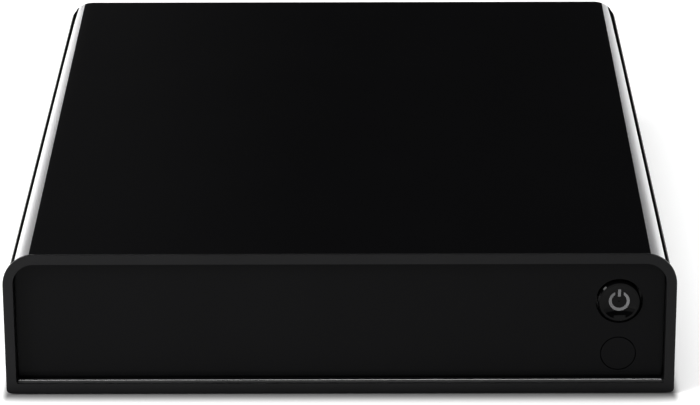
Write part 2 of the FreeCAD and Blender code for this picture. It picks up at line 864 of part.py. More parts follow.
# ---------------------------------------------------------------- shell
def make_shell():
    behind_lip = "front + lip"
    long_span = (behind_lip, "rear")
    flange_span = ("neck_back + screw_gap * 2", "rear_inner - joint_gap")
    outer = sleeve_solid("outer", "0", long_span)
    inner = sleeve_solid("inner", "skin", long_span, "floor_top")
    skin = cut("skin_ring", outer, inner)
    lining = cut(
        "lining_ring",
        sleeve_solid("lining_outer", "skin", flange_span, "floor_top"),
        sleeve_solid("lining_inner", "skin + flange_thick", flange_span, "flange_top"),
    )
    high = ("body_top - corner", "body_top + lip")
    inner_edges = ("body_half - trim_front", "body_half - trim_rear")
    cover_edges = [f"{edge} - joint_gap" for edge in inner_edges]
    plate = common("cover_plate", skin, tapered(
        "cover_limit", [(f"-({edge})", edge) for edge in cover_edges], long_span, high,
    ))
    tab_span = ("rear_inner - joint_gap - skin", "rear_inner - joint_gap")
    tabs = []
    tab_holes = []
    for mark in ("-", ""):
        place = f"{mark}cover_tab_place"
        tabs.append(block(f"cover_tab_{len(tabs)}", centred(place, "cover_tab_width"), tab_span,
                          ("tab_middle - cover_tab_height / 2", "body_top - skin / 2")))
        tab_holes.append(screw_hole(f"cover_tab_hole_{len(tabs)}", "y", (place, "tab_middle"),
                                    tab_span))
    keep("top_cover", cut("cover", union("cover_blank", plate, *tabs), *tab_holes))

    tongue = block(
        "trim_tongue",
        centred("body_half - tongue_place", "tongue_width"),
        ("neck_back + corner", "rear_inner - corner"),
        ("body_top - skin * 2 - tongue_drop", "body_top - skin * 2"),
    )
    outer_edge = "body_half - trim_outer"
    inside = "body_half - trim_rear"
    trim_strip = common("trim_strip", skin, union(
        "trim_limits",
        tapered("trim_limit", [(edge, outer_edge) for edge in inner_edges], long_span, high),
        tapered(
            "trim_end", [(inside, "body_half - seam_outer - joint_gap"), (inside, outer_edge)],
            (behind_lip, f"{behind_lip} + trim_flare"), high,
        ),
    ))
    trim = keep("edge_trim_right", union("trim", trim_strip, tongue))
    keep("edge_trim_left", mirrored("trim_mirrored", trim))

    tongue_slot = block(
        "tongue_slot",
        centred("body_half - tongue_place", "tongue_width + joint_gap * 2"),
        ("neck_back + corner - screw_gap", "rear_inner - corner + screw_gap"),
        ("body_top - skin * 2 - tongue_drop - lip", "body_top"),
    )
    wall_skin = common("wall_skin", skin, block(
        "wall_limit", ("body_half - seam_outer", "body_half + lip"), long_span,
        ("frame_lift", "body_top"),
    ))
    wall_lining = common("wall_lining", lining, block(
        "lining_limit", ("body_half - shelf", "body_half"), flange_span,
        ("frame_lift", "body_top"),
    ))
    flange_screws = []
    for place in ("flange_screw_front", "flange_screw_middle", "flange_screw_back"):
        flange_screws.append(("body_half - shelf / 2 - flange_thick", f"front + {place}"))
    blank = cut(
        "wall_blank", union("wall_joined", wall_skin, wall_lining), tongue_slot,
        *[screw_hole(f"flange_hole_{n}", "z", spot, ("floor_top - lip", "flange_top + lip"))
          for n, spot in enumerate(flange_screws)],
    )
    keep("side_wall_left", mirrored("wall_mirrored", blank))
    keep("side_wall_right", cut("wall_right", blank, block(
        "tray_opening",
        ("inside_half - shelf / 4", "body_half + lip"),
        centred("bay_middle", "(face_half + face_gap) * 2"),
        ("cage_floor", "cage_ceiling"),
    )))

    # The floor is a steel sheet in line with the skin, with slots under the drive and board.
    floor_half = "body_half - seam_outer - joint_gap"
    floor_cuts = []
    screw_spots = []
    for mark in ("-", ""):
        screw_spots += [(f"{mark}({x})", y) for x, y in flange_screws]
        screw_spots.append((f"{mark}lug_place", "neck_back + lug_reach / 2"))
    for number, spot in enumerate(screw_spots):
        floor_cuts.append(screw_hole(
            f"floor_hole_{number}", "z", spot, ("body_low - lip", "floor_top + lip"),
        ))
    slots = int(driving["floor_slots"])
    for row, middle in enumerate(("bay_middle", "rear - floor_slot_setback")):
        for number in range(slots):
            place = f"({number} - ({slots} - 1) / 2) * floor_slot_pitch"
            floor_cuts.append(block(
                f"floor_slot_{row}_{number}", centred(place, "floor_slot_width"),
                centred(middle, "floor_slot_length"), ("body_low - lip", "floor_top + lip"),
            ))
    feet = []
    for depth, y in (("front", "front + foot_setback"), ("rear", "rear - foot_setback")):
        for side, mark in (("left", "-"), ("right", "")):
            feet.append((f"foot_{depth}_{side}", (f"{mark}(body_half - foot_place)", y)))
    for node, spot in feet:
        floor_cuts.append(rod(
            f"{node}_hole", "z", "foot_stud_radius", spot, ("body_low - lip", "floor_top + lip"),
        ))
    keep("bottom_plate", cut(
        "floor",
        block("floor_blank", (f"-({floor_half})", floor_half),
              (behind_lip, "rear_inner - joint_gap"), ("body_low", "floor_top")),
        *floor_cuts,
    ))
    soles = []
    for node, spot in feet:
        pad = rod(f"{node}_pad", "z", "foot_radius", spot, ("foot_chamfer", "body_low"))
        sole = doc.addObject("Part::Cone", f"{node}_sole")
        sole.setExpression("Radius1", expand("foot_radius - foot_chamfer"))
        sole.setExpression("Radius2", expand("foot_radius"))
        sole.setExpression("Height", expand("foot_chamfer"))
        sole.setExpression("Placement.Base.x", expand(spot[0]))
        sole.setExpression("Placement.Base.y", expand(spot[1]))
        stud = rod(f"{node}_stud", "z", "foot_stud_radius", spot,
                   ("body_low", "body_low + foot_stud_height"))
        soles.append(union(f"{node}_whole", pad, sole, stud))
    keep("rubber_feet", group("foot_set", *soles))
    keep("bottom_screws", group("bottom_screw_set", *[
        screw(f"bottom_screw_{n}", "z", spot, "body_low", 1, "(skin + flange_height)")
        for n, spot in enumerate(screw_spots)
    ]))


# ---------------------------------------------------------------- drive bay and tray
def make_bay():
    middle = "bay_middle"
    right = "inside_half - foot_corner - joint_gap"
    shell = block(
        "cage_shell", ("cage_left", right), centred(middle, "(cage_half + cage_sheet) * 2"),
        ("cage_low", "cage_top"),
    )
    hollow = block(
        "cage_hollow", ("cage_left + cage_sheet", f"{right} + lip"),
        centred(middle, "cage_half * 2"), ("cage_floor", "cage_ceiling"),
    )
    gate = block(
        "cage_gate", ("cage_left - lip", "cage_left + cage_sheet + lip"),
        centred(middle, "sata_width"),
        ("cage_ceiling - cage_gate_low", "cage_ceiling - cage_gate_high"),
    )
    vents = []
    count = int(driving["cage_vents"])
    for number in range(count):
        place = f"(cage_left + {right}) / 2 + ({number} - ({count} - 1) / 2) * cage_vent_pitch"
        vents.append(block(
            f"cage_vent_{number}", centred(place, "cage_vent_width"),
            centred(middle, "cage_vent_length"),
            ("cage_ceiling - lip", "cage_top + lip"),
        ))
        vents.append(block(
            f"cage_floor_vent_{number}", centred(place, "cage_vent_width"),
            centred(middle, "cage_vent_length"),
            ("cage_low - lip", "cage_floor + lip"),
        ))
    legs = []
    for x in ("cage_left + cage_leg", "body_half - shelf - cage_leg"):
        for y in (f"{middle} - cage_half + cage_leg", f"{middle} + cage_half - cage_leg"):
            legs.append(block(
                f"cage_leg_{len(legs)}", centred(x, "cage_leg"), centred(y, "cage_leg"),
                ("floor_top", "cage_low + cage_sheet / 2"),
            ))
    studs = []
    board_spots = []
    for side in ("-", "+"):
        for z in ("drive_low + bay_stud_inset", "cage_ceiling - bay_stud_inset"):
            board_spots.append((f"{middle} {side} bay_stud_half", z))
    wall = "cage_left + cage_sheet"
    for number, spot in enumerate(board_spots):
        studs.append(rod(f"cage_stud_{number}", "x", "standoff_radius", spot,
                         ("cage_left", f"{wall} + bay_stud_height")))
    cage = cut("cage_cut", shell, hollow, gate, *vents)
    keep("drive_cage", union("cage", cage, *legs, *studs))
    board_left = f"{wall} + bay_stud_height"
    board_right = f"{board_left} + board_thick"
    keep("bay_board", block(
        "bay_board_blank", (board_left, board_right), centred(middle, "bay_board_width"),
        ("drive_low", "cage_ceiling - joint_gap"),
    ))
    socket_y = f"{middle} + sata_aside - sata_width / 2"
    socket_low = "drive_low + drive_board_room"
    keep("bay_connector", block(
        "bay_connector_blank", (board_right, "drive_left - slide_gap"),
        centred(socket_y, "sata_width + sata_shroud * 2"),
        (f"{socket_low} - sata_shroud", f"{socket_low} + sata_height + sata_shroud"),
    ))

    floor_z = ("tray_low", "drive_low")
    tray_left = "drive_left + tray_tail"
    tray_floor = block("tray_floor", (tray_left, "face_inner"),
                       centred(middle, "tray_half * 2"), floor_z)
    sides = []
    for mark in ("-", "+"):
        inner = f"{middle} {mark} (tray_half - tray_wall)"
        outer = f"{middle} {mark} tray_half"
        span = (outer, inner) if mark == "-" else (inner, outer)
        sides.append(block(f"tray_side_{len(sides)}", (tray_left, "face_inner"), span,
                           ("tray_low", "tray_low + tray_side_height")))
    tray_front = block(
        "tray_front", ("drive_right + joint_gap", "face_inner"),
        centred(middle, "tray_half * 2"), ("tray_low", "face_top - face_edge"),
    )
    vent = block(
        "tray_window", centred("(drive_left + drive_right) / 2", "tray_window_length"),
        centred(middle, "tray_window_width"), floor_z,
    )
    pocket_z = centred("(face_bottom + face_top) / 2", "lever_tall + lever_gap * 2")
    lever_back = f"{middle} + lever_length / 2"
    lever_front = f"{middle} - lever_length / 2"
    pocket_y = (f"{lever_front} - finger_room",
                f"{lever_back} + lever_knuckle + lever_gap")
    pocket = block("lever_pocket", ("body_half - pocket_depth", "body_half + lip"),
                   pocket_y, pocket_z)
    drive_spots = []
    for x in ("drive_left + drive_hole_back", "drive_right - drive_hole_front"):
        for mark in ("-", "+"):
            drive_spots.append((x, f"{middle} {mark} drive_hole_half"))
    holes = []
    for number, spot in enumerate(drive_spots):
        holes.append(screw_hole(f"tray_hole_{number}", "z", spot, floor_z))
        holes.append(rod(
            f"tray_dimple_{number}", "z", "screw_head_radius + screw_gap", spot,
            ("tray_low", "tray_low + screw_head_height + screw_gap"),
        ))
    keep("drive_tray", cut(
        "tray", union("tray_blank", tray_floor, tray_front, *sides), vent, pocket, *holes,
    ))
    keep("drive_screws", group("drive_screw_set", *[
        screw(f"drive_screw_{n}", "z", spot, "tray_low + screw_head_height + screw_gap", 1,
              "(screw_length - lip)")
        for n, spot in enumerate(drive_spots)
    ]))
    pin_y = lever_back
    pin_x = "body_half - lever_thick / 2 - lever_knuckle / 2"
    pin_span = centred("(face_bottom + face_top) / 2", "lever_tall + lever_gap * 2 + rail")
    axes["tray_lever"] = (pin_x, pin_y, "(face_bottom + face_top) / 2")
    axes["finger_pocket"] = (
        "body_half - pocket_depth", "body_half", pocket_y[0], lever_front, *pocket_z,
    )
    pin_hole = rod("pin_hole", "z", "lever_pin", (pin_x, pin_y), pin_span)
    face = block(
        "face_blank", ("face_inner", "body_half"), centred(middle, "face_half * 2"),
        ("face_bottom", "face_top"),
    )
    keep("tray_face", cut("face", face, pocket, pin_hole))
    keep("lever_pin", rod("pin", "z", "lever_pin", (pin_x, pin_y), pin_span))
    lever_z = centred("(face_bottom + face_top) / 2", "lever_tall")
    keep("tray_lever", cut(
        "lever",
        union(
            "lever_blank",
            block("lever_plate", ("body_half - lever_thick", "body_half"),
                  (lever_front, pin_y), lever_z),
            rod("lever_round", "z", "lever_knuckle", (pin_x, pin_y), lever_z),
        ),
        rod("lever_bore", "z", "lever_pin + pin_gap", (pin_x, pin_y), lever_z),
    ))
    return drive_spots


# ---------------------------------------------------------------- hard drive
def make_drive(drive_spots):
    middle = "bay_middle"
    lid_low = "drive_top - drive_lid_thick"
    width = centred(middle, "drive_width")
    body = block("drive_block", ("drive_left", "drive_right"), width, ("drive_low", lid_low))
    hub_x = "drive_right - drive_width / 2"
    cavity_low = "drive_low + drive_floor"
    bowl = rod("drive_bowl", "z", "drive_width / 2 - drive_rim", (hub_x, middle),
               (cavity_low, lid_low))
    arm_x = f"{hub_x} - arm_back"
    arm_y = f"{middle} - drive_width / 2 + arm_aside"
    arm_room = block(
        "arm_room", (f"{arm_x} - arm_tail - drive_rim * 2", hub_x),
        centred(middle, "drive_width - arm_room_wall * 2"), (cavity_low, lid_low),
    )
    board_span = ("drive_left + rail", "drive_left + rail + drive_board_length")
    board_room = block("drive_board_room", board_span, centred(middle, "drive_board_width"),
                       ("drive_low", "drive_low + drive_board_room"))
    plug_y = centred(f"{middle} + sata_aside - sata_width / 2", "sata_width")
    plug_low = "drive_low + drive_board_room"
    plug_room = block("plug_room", ("drive_left", "drive_left + sata_depth"), plug_y,
                      ("drive_low", f"{plug_low} + sata_height"))
    holes = [
        screw_hole(f"drive_hole_{n}", "z", spot, ("drive_low", "drive_low + screw_length"))
        for n, spot in enumerate(drive_spots)
    ]
    lid_spots = []
    for x in ("drive_left + lid_screw_inset", f"{hub_x} - drive_width / 2",
              "drive_right - lid_screw_inset"):
        for mark in ("-", "+"):
            lid_spots.append((x, f"{middle} {mark} (drive_width / 2 - lid_screw_inset)"))
    lid_holes = [
        screw_hole(f"case_lid_hole_{n}", "z", spot, (f"{lid_low} - rail", lid_low))
        for n, spot in enumerate(lid_spots)
    ]
    hollowed = cut("drive_hollowed", body, bowl, arm_room, board_room, plug_room,
                   *holes, *lid_holes)
    post_top = f"{lid_low} - drive_cavity_room / 2"
    spindle = rod("spindle_post", "z", "spindle_radius", (hub_x, middle), (cavity_low, post_top))
    pivot = rod("pivot_post", "z", "arm_pivot", (arm_x, arm_y), (cavity_low, post_top))
    keep("drive_case", union("drive_case_whole", hollowed, spindle, pivot))
    lid_seat = "drive_top + lid_screw_proud - screw_head_height"
    keep("drive_lid", cut(
        "drive_lid_cut",
        block("drive_lid_blank", ("drive_left", "drive_right"), width, (lid_low, "drive_top")),
        *[screw_hole(f"lid_hole_{n}", "z", spot, (lid_low, "drive_top"))
          for n, spot in enumerate(lid_spots)],
        *[rod(f"lid_dimple_{n}", "z", "screw_head_radius + screw_gap", spot,
              (lid_seat, "drive_top"))
          for n, spot in enumerate(lid_spots)],
    ))
    keep("drive_circuit", union(
        "drive_circuit_whole",
        block("drive_circuit_board",
              (f"{board_span[0]} + joint_gap", f"{board_span[1]} - joint_gap"),
              centred(middle, "drive_board_width - joint_gap * 2"),
              ("drive_low + joint_gap", "drive_low + drive_board_room - joint_gap")),
        block("drive_plug", ("drive_left + joint_gap", "drive_left + sata_depth - joint_gap"),
              centred(f"{middle} + sata_aside - sata_width / 2", "sata_width - joint_gap * 2"),
              ("drive_low + joint_gap", f"{plug_low} + sata_height - joint_gap")),
    ))
    stack_low = f"{cavity_low} + drive_cavity_room"
    axes["platters"] = (hub_x, middle, stack_low)
    axes["head_arm"] = (arm_x, arm_y, stack_low)
    stack_high = f"{post_top} - drive_cavity_room / 2"
    discs = []
    levels = []
    for number in range(2):
        low = f"({stack_low} + arm_thick + rail + {number} * platter_space)"
        levels.append(low)
        discs.append(rod(f"platter_{number}", "z", "drive_width / 2 - drive_rim - platter_gap",
                         (hub_x, middle), (low, f"{low} + platter_thick")))
    hub = rod("platter_hub_rod", "z", "platter_hub", (hub_x, middle), (stack_low, stack_high))
    keep("platter_stack", cut(
        "platters", union("platter_blank", hub, *discs),
        rod("platter_bore", "z", "spindle_radius + spindle_gap", (hub_x, middle),
            (stack_low, stack_high)),
    ))
    arms = []
    for number, level in enumerate((
        f"{levels[0]} - arm_drop", f"{levels[0]} + arm_rise", f"{levels[1]} + arm_rise",
    )):
        arms.append(swung_bar(
            f"head_arm_{number}", (arm_x, arm_y), "arm_park", "arm_tail", "arm_length",
            "arm_width", (level, f"{level} + arm_thick"),
        ))
    arm_hub = rod("arm_hub_rod", "z", "arm_hub", (arm_x, arm_y), (stack_low, stack_high))
    keep("head_arm", cut(
        "arm_cut", union("arm_blank", arm_hub, *arms),
        rod("arm_bore", "z", "arm_pivot + spindle_gap", (arm_x, arm_y), (stack_low, stack_high)),
    ))
    keep("lid_screws", group("lid_screw_set", *[
        screw(f"lid_screw_{n}", "z", spot, lid_seat, -1, "rail")
        for n, spot in enumerate(lid_spots)
    ]))


# ---------------------------------------------------------------- main board
def make_board(front_screws):
    front_edge = "cage_back + board_front"
    back_edge = "rear_inner - board_back"
    corners = []
    for x in ("-board_half + corner_inset", "board_half - corner_inset"):
        for y in (f"{front_edge} + corner_inset", f"{back_edge} - board_tail"):
            corners.append((x, y))
    keep("main_board", cut(
        "main_board_cut",
        block("main_board_blank", ("-board_half", "board_half"), (front_edge, back_edge),
              ("board_low", "board_top")),
        *[screw_hole(f"main_board_hole_{n}", "z", c, ("board_low", "board_top"))
          for n, c in enumerate(corners)],
    ))
    keep("board_standoffs", cut(
        "standoffs",
        group("standoff_rods", *[
            rod(f"standoff_{n}", "z", "standoff_radius", c, ("floor_top", "board_low"))
            for n, c in enumerate(corners)
        ]),
        *[screw_hole(f"standoff_hole_{n}", "z", c, ("floor_top + lip", "board_low"))
          for n, c in enumerate(corners)],
    ))
    keep("board_screws", group("board_screw_set", *front_screws, *[
        screw(f"board_screw_{n}", "z", c, "board_top", -1) for n, c in enumerate(corners)
    ]))
    chip_y = "rear - chip_setback - chip_side"
    chip_top = "board_top + chip_thick"
    keep("main_chip", block(
        "chip", centred("chip_place", "chip_side"), centred(chip_y, "chip_side"),
        ("board_top", chip_top),
    ))
    sink = [block("sink_plate", centred("chip_place", "sink_side"), centred(chip_y, "sink_side"),
                  (chip_top, f"{chip_top} + sink_base"))]
    fins = int(driving["sink_fins"])
    for number in range(fins):
        share = f"{number} / ({fins} - 1)"
        left = f"chip_place - sink_side / 2 + (sink_side - sink_fin) * {share}"
        sink.append(block(
            f"sink_fin_{number}", (left, f"{left} + sink_fin"), centred(chip_y, "sink_side"),
            (f"{chip_top} + sink_base / 2", f"{chip_top} + sink_height"),
        ))
    keep("heat_sink", union("sink", *sink))
    chips = []
    for number in range(4):
        place = f"memory_place + {number % 2} * memory_column"
        depth = f"{chip_y} + ({number // 2} - 0.5) * memory_row"
        chips.append(block(
            f"memory_{number}", centred(place, "memory_length"), centred(depth, "memory_width"),
            ("board_top", "board_top + memory_thick"),
        ))
    keep("memory_chips", group("memory_set", *chips))
    cans = []
    for number in range(4):
        spot = ("board_half - capacitor_inset",
                f"{front_edge} + capacitor_inset + {number} * capacitor_pitch")
        cans.append(rod(f"capacitor_{number}", "z", "capacitor_radius", spot,
                        ("board_top", "board_top + capacitor_height")))
    keep("capacitors", group("capacitor_set", *cans))


# ---------------------------------------------------------------- rear sockets and panel
def make_rear():
    face = "rear_face + socket_proud"
    cuts = []

    def opening(name, middle, width, low, high):
        cuts.append(block(
            f"{name}_opening", centred(middle, f"({width}) + socket_gap * 2"),
            ("rear_inner - lip", "rear_face + lip"),
            (f"({low}) - socket_gap", f"({high}) + socket_gap"),
        ))

    hdmi_z = ("board_top", "board_top + hdmi_height")
    hdmi_y = (f"{face} - hdmi_depth", face)
    keep("hdmi_socket", cut(
        "hdmi",
        block("hdmi_shell", centred("hdmi_place", "hdmi_width"), hdmi_y, hdmi_z),
        cut(
            "hdmi_hollow",
            block("hdmi_mouth", centred("hdmi_place", "hdmi_width - hdmi_wall * 2"),
                  (f"{face} - hdmi_mouth_depth", f"{face} + lip"),
                  ("board_top + hdmi_wall", "board_top + hdmi_height - hdmi_wall")),
            block("hdmi_tongue", centred("hdmi_place", "hdmi_tongue_width"),
                  (f"{face} - hdmi_depth", f"{face} - tongue_setback"),
                  centred("board_top + hdmi_height / 2", "hdmi_tongue_thick")),
        ),
    ))
    opening("hdmi", "hdmi_place", "hdmi_width", *hdmi_z)

    lan_z = ("board_top", "board_top + lan_height")
    lan_mouth_low = "board_top + (lan_height - lan_mouth_height) / 2"
    keep("lan_socket", cut(
        "lan",
        block("lan_shell", centred("lan_place", "lan_width"), (f"{face} - lan_depth", face), lan_z),
        block("lan_mouth", centred("lan_place", "lan_mouth_width"),
              (f"{face} - lan_mouth_depth", f"{face} + lip"),
              (lan_mouth_low, f"{lan_mouth_low} + lan_mouth_height")),
        block("lan_catch", centred("lan_place", "lan_catch_width"),
              (f"{face} - lan_catch_depth", f"{face} + lip"),
              (f"{lan_mouth_low} - lan_catch_drop", f"{lan_mouth_low} + lan_catch_drop")),
    ))
    opening("lan", "lan_place", "lan_width", *lan_z)
    axes["lan_mouth"] = (
        *centred("lan_place", "lan_mouth_width"), f"{face} - lan_mouth_depth", face,
        lan_mouth_low, f"{lan_mouth_low} + lan_mouth_height",
    )

    usb_z = ("board_top", "board_top + usb_height")
    usb_holes = []
    for number in range(2):
        middle = f"board_top + usb_height * ({number} * 2 + 1) / 4"
        ceiling = f"{middle} + usb_mouth_height / 2 - usb_tongue_drop"
        usb_holes.append(cut(
            f"usb_hollow_{number}",
            block(f"usb_mouth_{number}", centred("usb_place", "usb_width - usb_wall * 2"),
                  (f"{face} - usb_mouth_depth", f"{face} + lip"),
                  centred(middle, "usb_mouth_height")),
            block(f"usb_tongue_{number}", centred("usb_place", "usb_tongue_width"),
                  (f"{face} - usb_depth", f"{face} - tongue_setback"),
                  (f"{ceiling} - usb_tongue_thick", ceiling)),
        ))
    keep("usb_socket", cut(
        "usb",
        block("usb_shell", centred("usb_place", "usb_width"), (f"{face} - usb_depth", face), usb_z),
        *usb_holes,
    ))
    opening("usb", "usb_place", "usb_width", *usb_z)

    optical_z = ("board_top", "board_top + optical_side")
    keep("optical_socket", cut(
        "optical",
        block("optical_shell", centred("optical_place", "optical_side"),
              (f"{face} - optical_depth", face), optical_z),
        block("optical_mouth", centred("optical_place", "optical_mouth"),
              (f"{face} - optical_depth / 2", f"{face} + lip"),
              centred("board_top + optical_side / 2", "optical_mouth")),
    ))
    opening("optical", "optical_place", "optical_side", *optical_z)

    power_z = ("board_top", "board_top + power_height")
    power_spot = ("power_place", "board_top + power_height / 2")
    power_hole = (f"{face} - power_bore_depth", f"{face} + lip")
    keep("power_socket", cut(
        "power",
        block("power_shell", centred("power_place", "power_side"),
              (f"{face} - power_depth", face), power_z),
        rod("power_bore_rod", "y", "power_bore", power_spot, power_hole),
    ))
    keep("power_pin", rod("power_pin_rod", "y", "power_pin", power_spot,
                          (power_hole[0], f"{face} - lip")))
    opening("power", "power_place", "power_side", *power_z)

    axis_z = "board_top + rca_block_height / 2"
    block_back = "rear_inner - joint_gap"
    keep("av_block", block(
        "av_block_blank", centred("rca_place + rca_pitch", "rca_pitch * 3"),
        (f"{block_back} - rca_block_depth", block_back),
        ("board_top", "board_top + rca_block_height"),
    ))
    barrels = []
    for number, colour in enumerate(("yellow", "white", "red")):
        spot = (f"rca_place + rca_pitch * {number}", axis_z)
        ring_span = ("rear_face", "rear_face + rca_ring_thick")
        keep(f"av_ring_{colour}", cut(
            f"av_ring_{colour}_cut",
            rod(f"av_ring_{colour}_rod", "y", "rca_ring", spot, ring_span),
            rod(f"av_ring_{colour}_bore", "y", "rca_radius", spot, ring_span),
        ))
        span = (block_back, "rear_face + rca_reach")
        barrels.append(cut(
            f"av_barrel_{number}",
            rod(f"av_barrel_rod_{number}", "y", "rca_radius", spot, span),
            rod(f"av_barrel_bore_{number}", "y", "rca_bore", spot, span),
        ))
        cuts.append(rod(f"av_opening_{number}", "y", "rca_radius + socket_gap / 2", spot,
                        ("rear_inner - lip", "rear_face + lip")))
    keep("av_barrels", group("av_barrel_set", *barrels))

    fan_spot = ("fan_place", "fan_height")
    ribs = []
    rib_count = int(driving["fan_ribs"])
    for number in range(rib_count):
        place = f"fan_height + ({number} - ({rib_count} - 1) / 2) * fan_rib_pitch"
        ribs.append(block(f"fan_rib_{number}", centred("fan_place", "fan_side"),
                          ("rear_inner - lip", "rear_face + lip"), centred(place, "fan_strut")))
    cuts.append(cut(
        "fan_grille",
        rod("fan_grille_disc", "y", "fan_bore - lip", fan_spot,
            ("rear_inner - lip", "rear_face + lip")),
        *ribs,
    ))
    fan_corners = []
    for across in ("-", "+"):
        for level in ("-", "+"):
            fan_corners.append((f"fan_place {across} fan_hole", f"fan_height {level} fan_hole"))
    for number, spot in enumerate(fan_corners):
        cuts.append(screw_hole(f"fan_panel_hole_{number}", "y", spot,
                               ("rear_inner - lip", "rear_face + lip")))
    cover_spots = [(x, "tab_middle") for x in ("-cover_tab_place", "cover_tab_place")]
    for number, spot in enumerate(cover_spots):
        cuts.append(screw_hole(f"cover_panel_hole_{number}", "y", spot,
                               ("rear_inner - lip", "rear_face + lip")))
    plate = sleeve_solid("rear_plate", "skin + joint_gap", ("rear_inner", "rear_face"),
                         "floor_top + joint_gap")
    keep("rear_panel", cut("rear_panel_cut", plate, *cuts))
    keep("rear_screws", group("rear_screw_set", *[
        screw(f"rear_screw_{n}", "y", spot, "rear_face", -1)
        for n, spot in enumerate(cover_spots + fan_corners)
    ]))

    # The fan: a square housing with three struts, and a rotor that turns on its shaft.
    fan_back = "rear_inner"
    fan_span = (f"{fan_back} - fan_depth", fan_back)
    axes["fan"] = ("fan_place", "rear_inner - fan_depth / 2", "fan_height")
    mount_span = (fan_span[0], f"{fan_span[0]} + lip")
    housing = cut(
        "fan_housing",
        block("fan_block", centred("fan_place", "fan_side"), fan_span,
              centred("fan_height", "fan_side")),
        rod("fan_bore_rod", "y", "fan_bore", fan_spot, fan_span),
        *[screw_hole(f"fan_hole_{n}", "y", spot, fan_span) for n, spot in enumerate(fan_corners)],
    )
    struts = [
        block("fan_strut_tall", centred("fan_place", "fan_strut"), mount_span,
              centred("fan_height", "fan_bore * 2 + lip")),
        block("fan_strut_wide", centred("fan_place", "fan_bore * 2 + lip"), mount_span,
              centred("fan_height", "fan_strut")),
        rod("fan_mount", "y", "fan_hub", fan_spot, mount_span),
        rod("fan_shaft_rod", "y", "fan_shaft", fan_spot,
            (mount_span[0], f"{fan_back} - lip * 1.5")),
    ]
    keep("fan_frame", union("fan_frame_whole", housing, *struts))
    hub_span = (f"{mount_span[1]} + slide_gap", f"{fan_back} - lip")
    hub = cut(
        "rotor_hub",
        rod("rotor_cup", "y", "fan_hub", fan_spot, hub_span),
        rod("rotor_bore", "y", "fan_shaft + pin_gap", fan_spot,
            (hub_span[0], f"{fan_back} - lip * 1.4")),
    )
    blades = doc.addObject("Part::Feature", "rotor_blades")
    blades.Shape = rotor_blades(value(hub_span[0]), value(hub_span[1]))
    blades.Placement = Placement(Vector(value("fan_place"), 0, value("fan_height")), Rotation())
    keep("fan_rotor", union("rotor", hub, blades))


def rotor_blades(low, high):
    """Flat blades set at an angle about the fan's axis, trimmed to a ring."""
    hub = value("fan_hub")
    tip = value("fan_bore - fan_tip_gap")
    thick = value("fan_blade_thick")
    depth = high - low
    count = int(driving["fan_blades"])
    ring = Part.makeCylinder(tip, depth, Vector(0, low, 0), Vector(0, 1, 0))
    ring = ring.cut(Part.makeCylinder(hub - thick, depth, Vector(0, low, 0), Vector(0, 1, 0)))
    shapes = []
    for number in range(count):
        blade = Part.makeBox(tip, depth * 1.6, thick, Vector(0, -depth * 0.8, -thick / 2))
        blade.rotate(Vector(), Vector(1, 0, 0), 90 - value("fan_blade_pitch"))
        blade.translate(Vector(0, (low + high) / 2, 0))
        blade.rotate(Vector(), Vector(0, 1, 0), 360 * number / count)
        shapes.append(blade)
    return shapes[0].fuse(shapes[1:]).common(ring)


def ribbon(name, points, bend, thick, across, axis):
    """A flat cable: a strip of even thickness along a route, extruded to its width."""
    route = [Vector(*point) for point in points]
    heads = [(b - a).normalize() for a, b in zip(route, route[1:])]
    normal = Vector(1, 0, 0) if axis == "x" else Vector(0, 0, 1)
    sides = []
    for side in (0.5, -0.5):
        edges = []
        start = route[0] + normal.cross(heads[0]) * thick * side
        for corner, before, after in zip(route[1:], heads, heads[1:]):
            inward = (after - before).normalize()
            half_turn = before.getAngle(after) / 2
            reach = bend * math.tan(half_turn)
            centre = corner + inward * (bend / math.cos(half_turn))
            shift_before = normal.cross(before) * thick * side
            shift_after = normal.cross(after) * thick * side
            first = corner - before * reach + shift_before
            last = corner + after * reach + shift_after
            radius = (first - centre).Length
            edges.append(Part.makeLine(start, first))
            edges.append(Part.Arc(first, centre - inward * radius, last).toShape())
            start = last
        edges.append(Part.makeLine(start, route[-1] + normal.cross(heads[-1]) * thick * side))
        sides.append(edges)
    ends = [
        Part.makeLine(sides[0][0].valueAt(0), sides[1][0].valueAt(0)),
        Part.makeLine(sides[0][-1].valueAt(sides[0][-1].Length),
                      sides[1][-1].valueAt(sides[1][-1].Length)),
    ]
    loop = Part.Wire(Part.sortEdges(sides[0] + ends + sides[1])[0])
    strip = doc.addObject("Part::Feature", name)
    strip.Shape = Part.Face(loop).extrude(normal * across)
    return strip


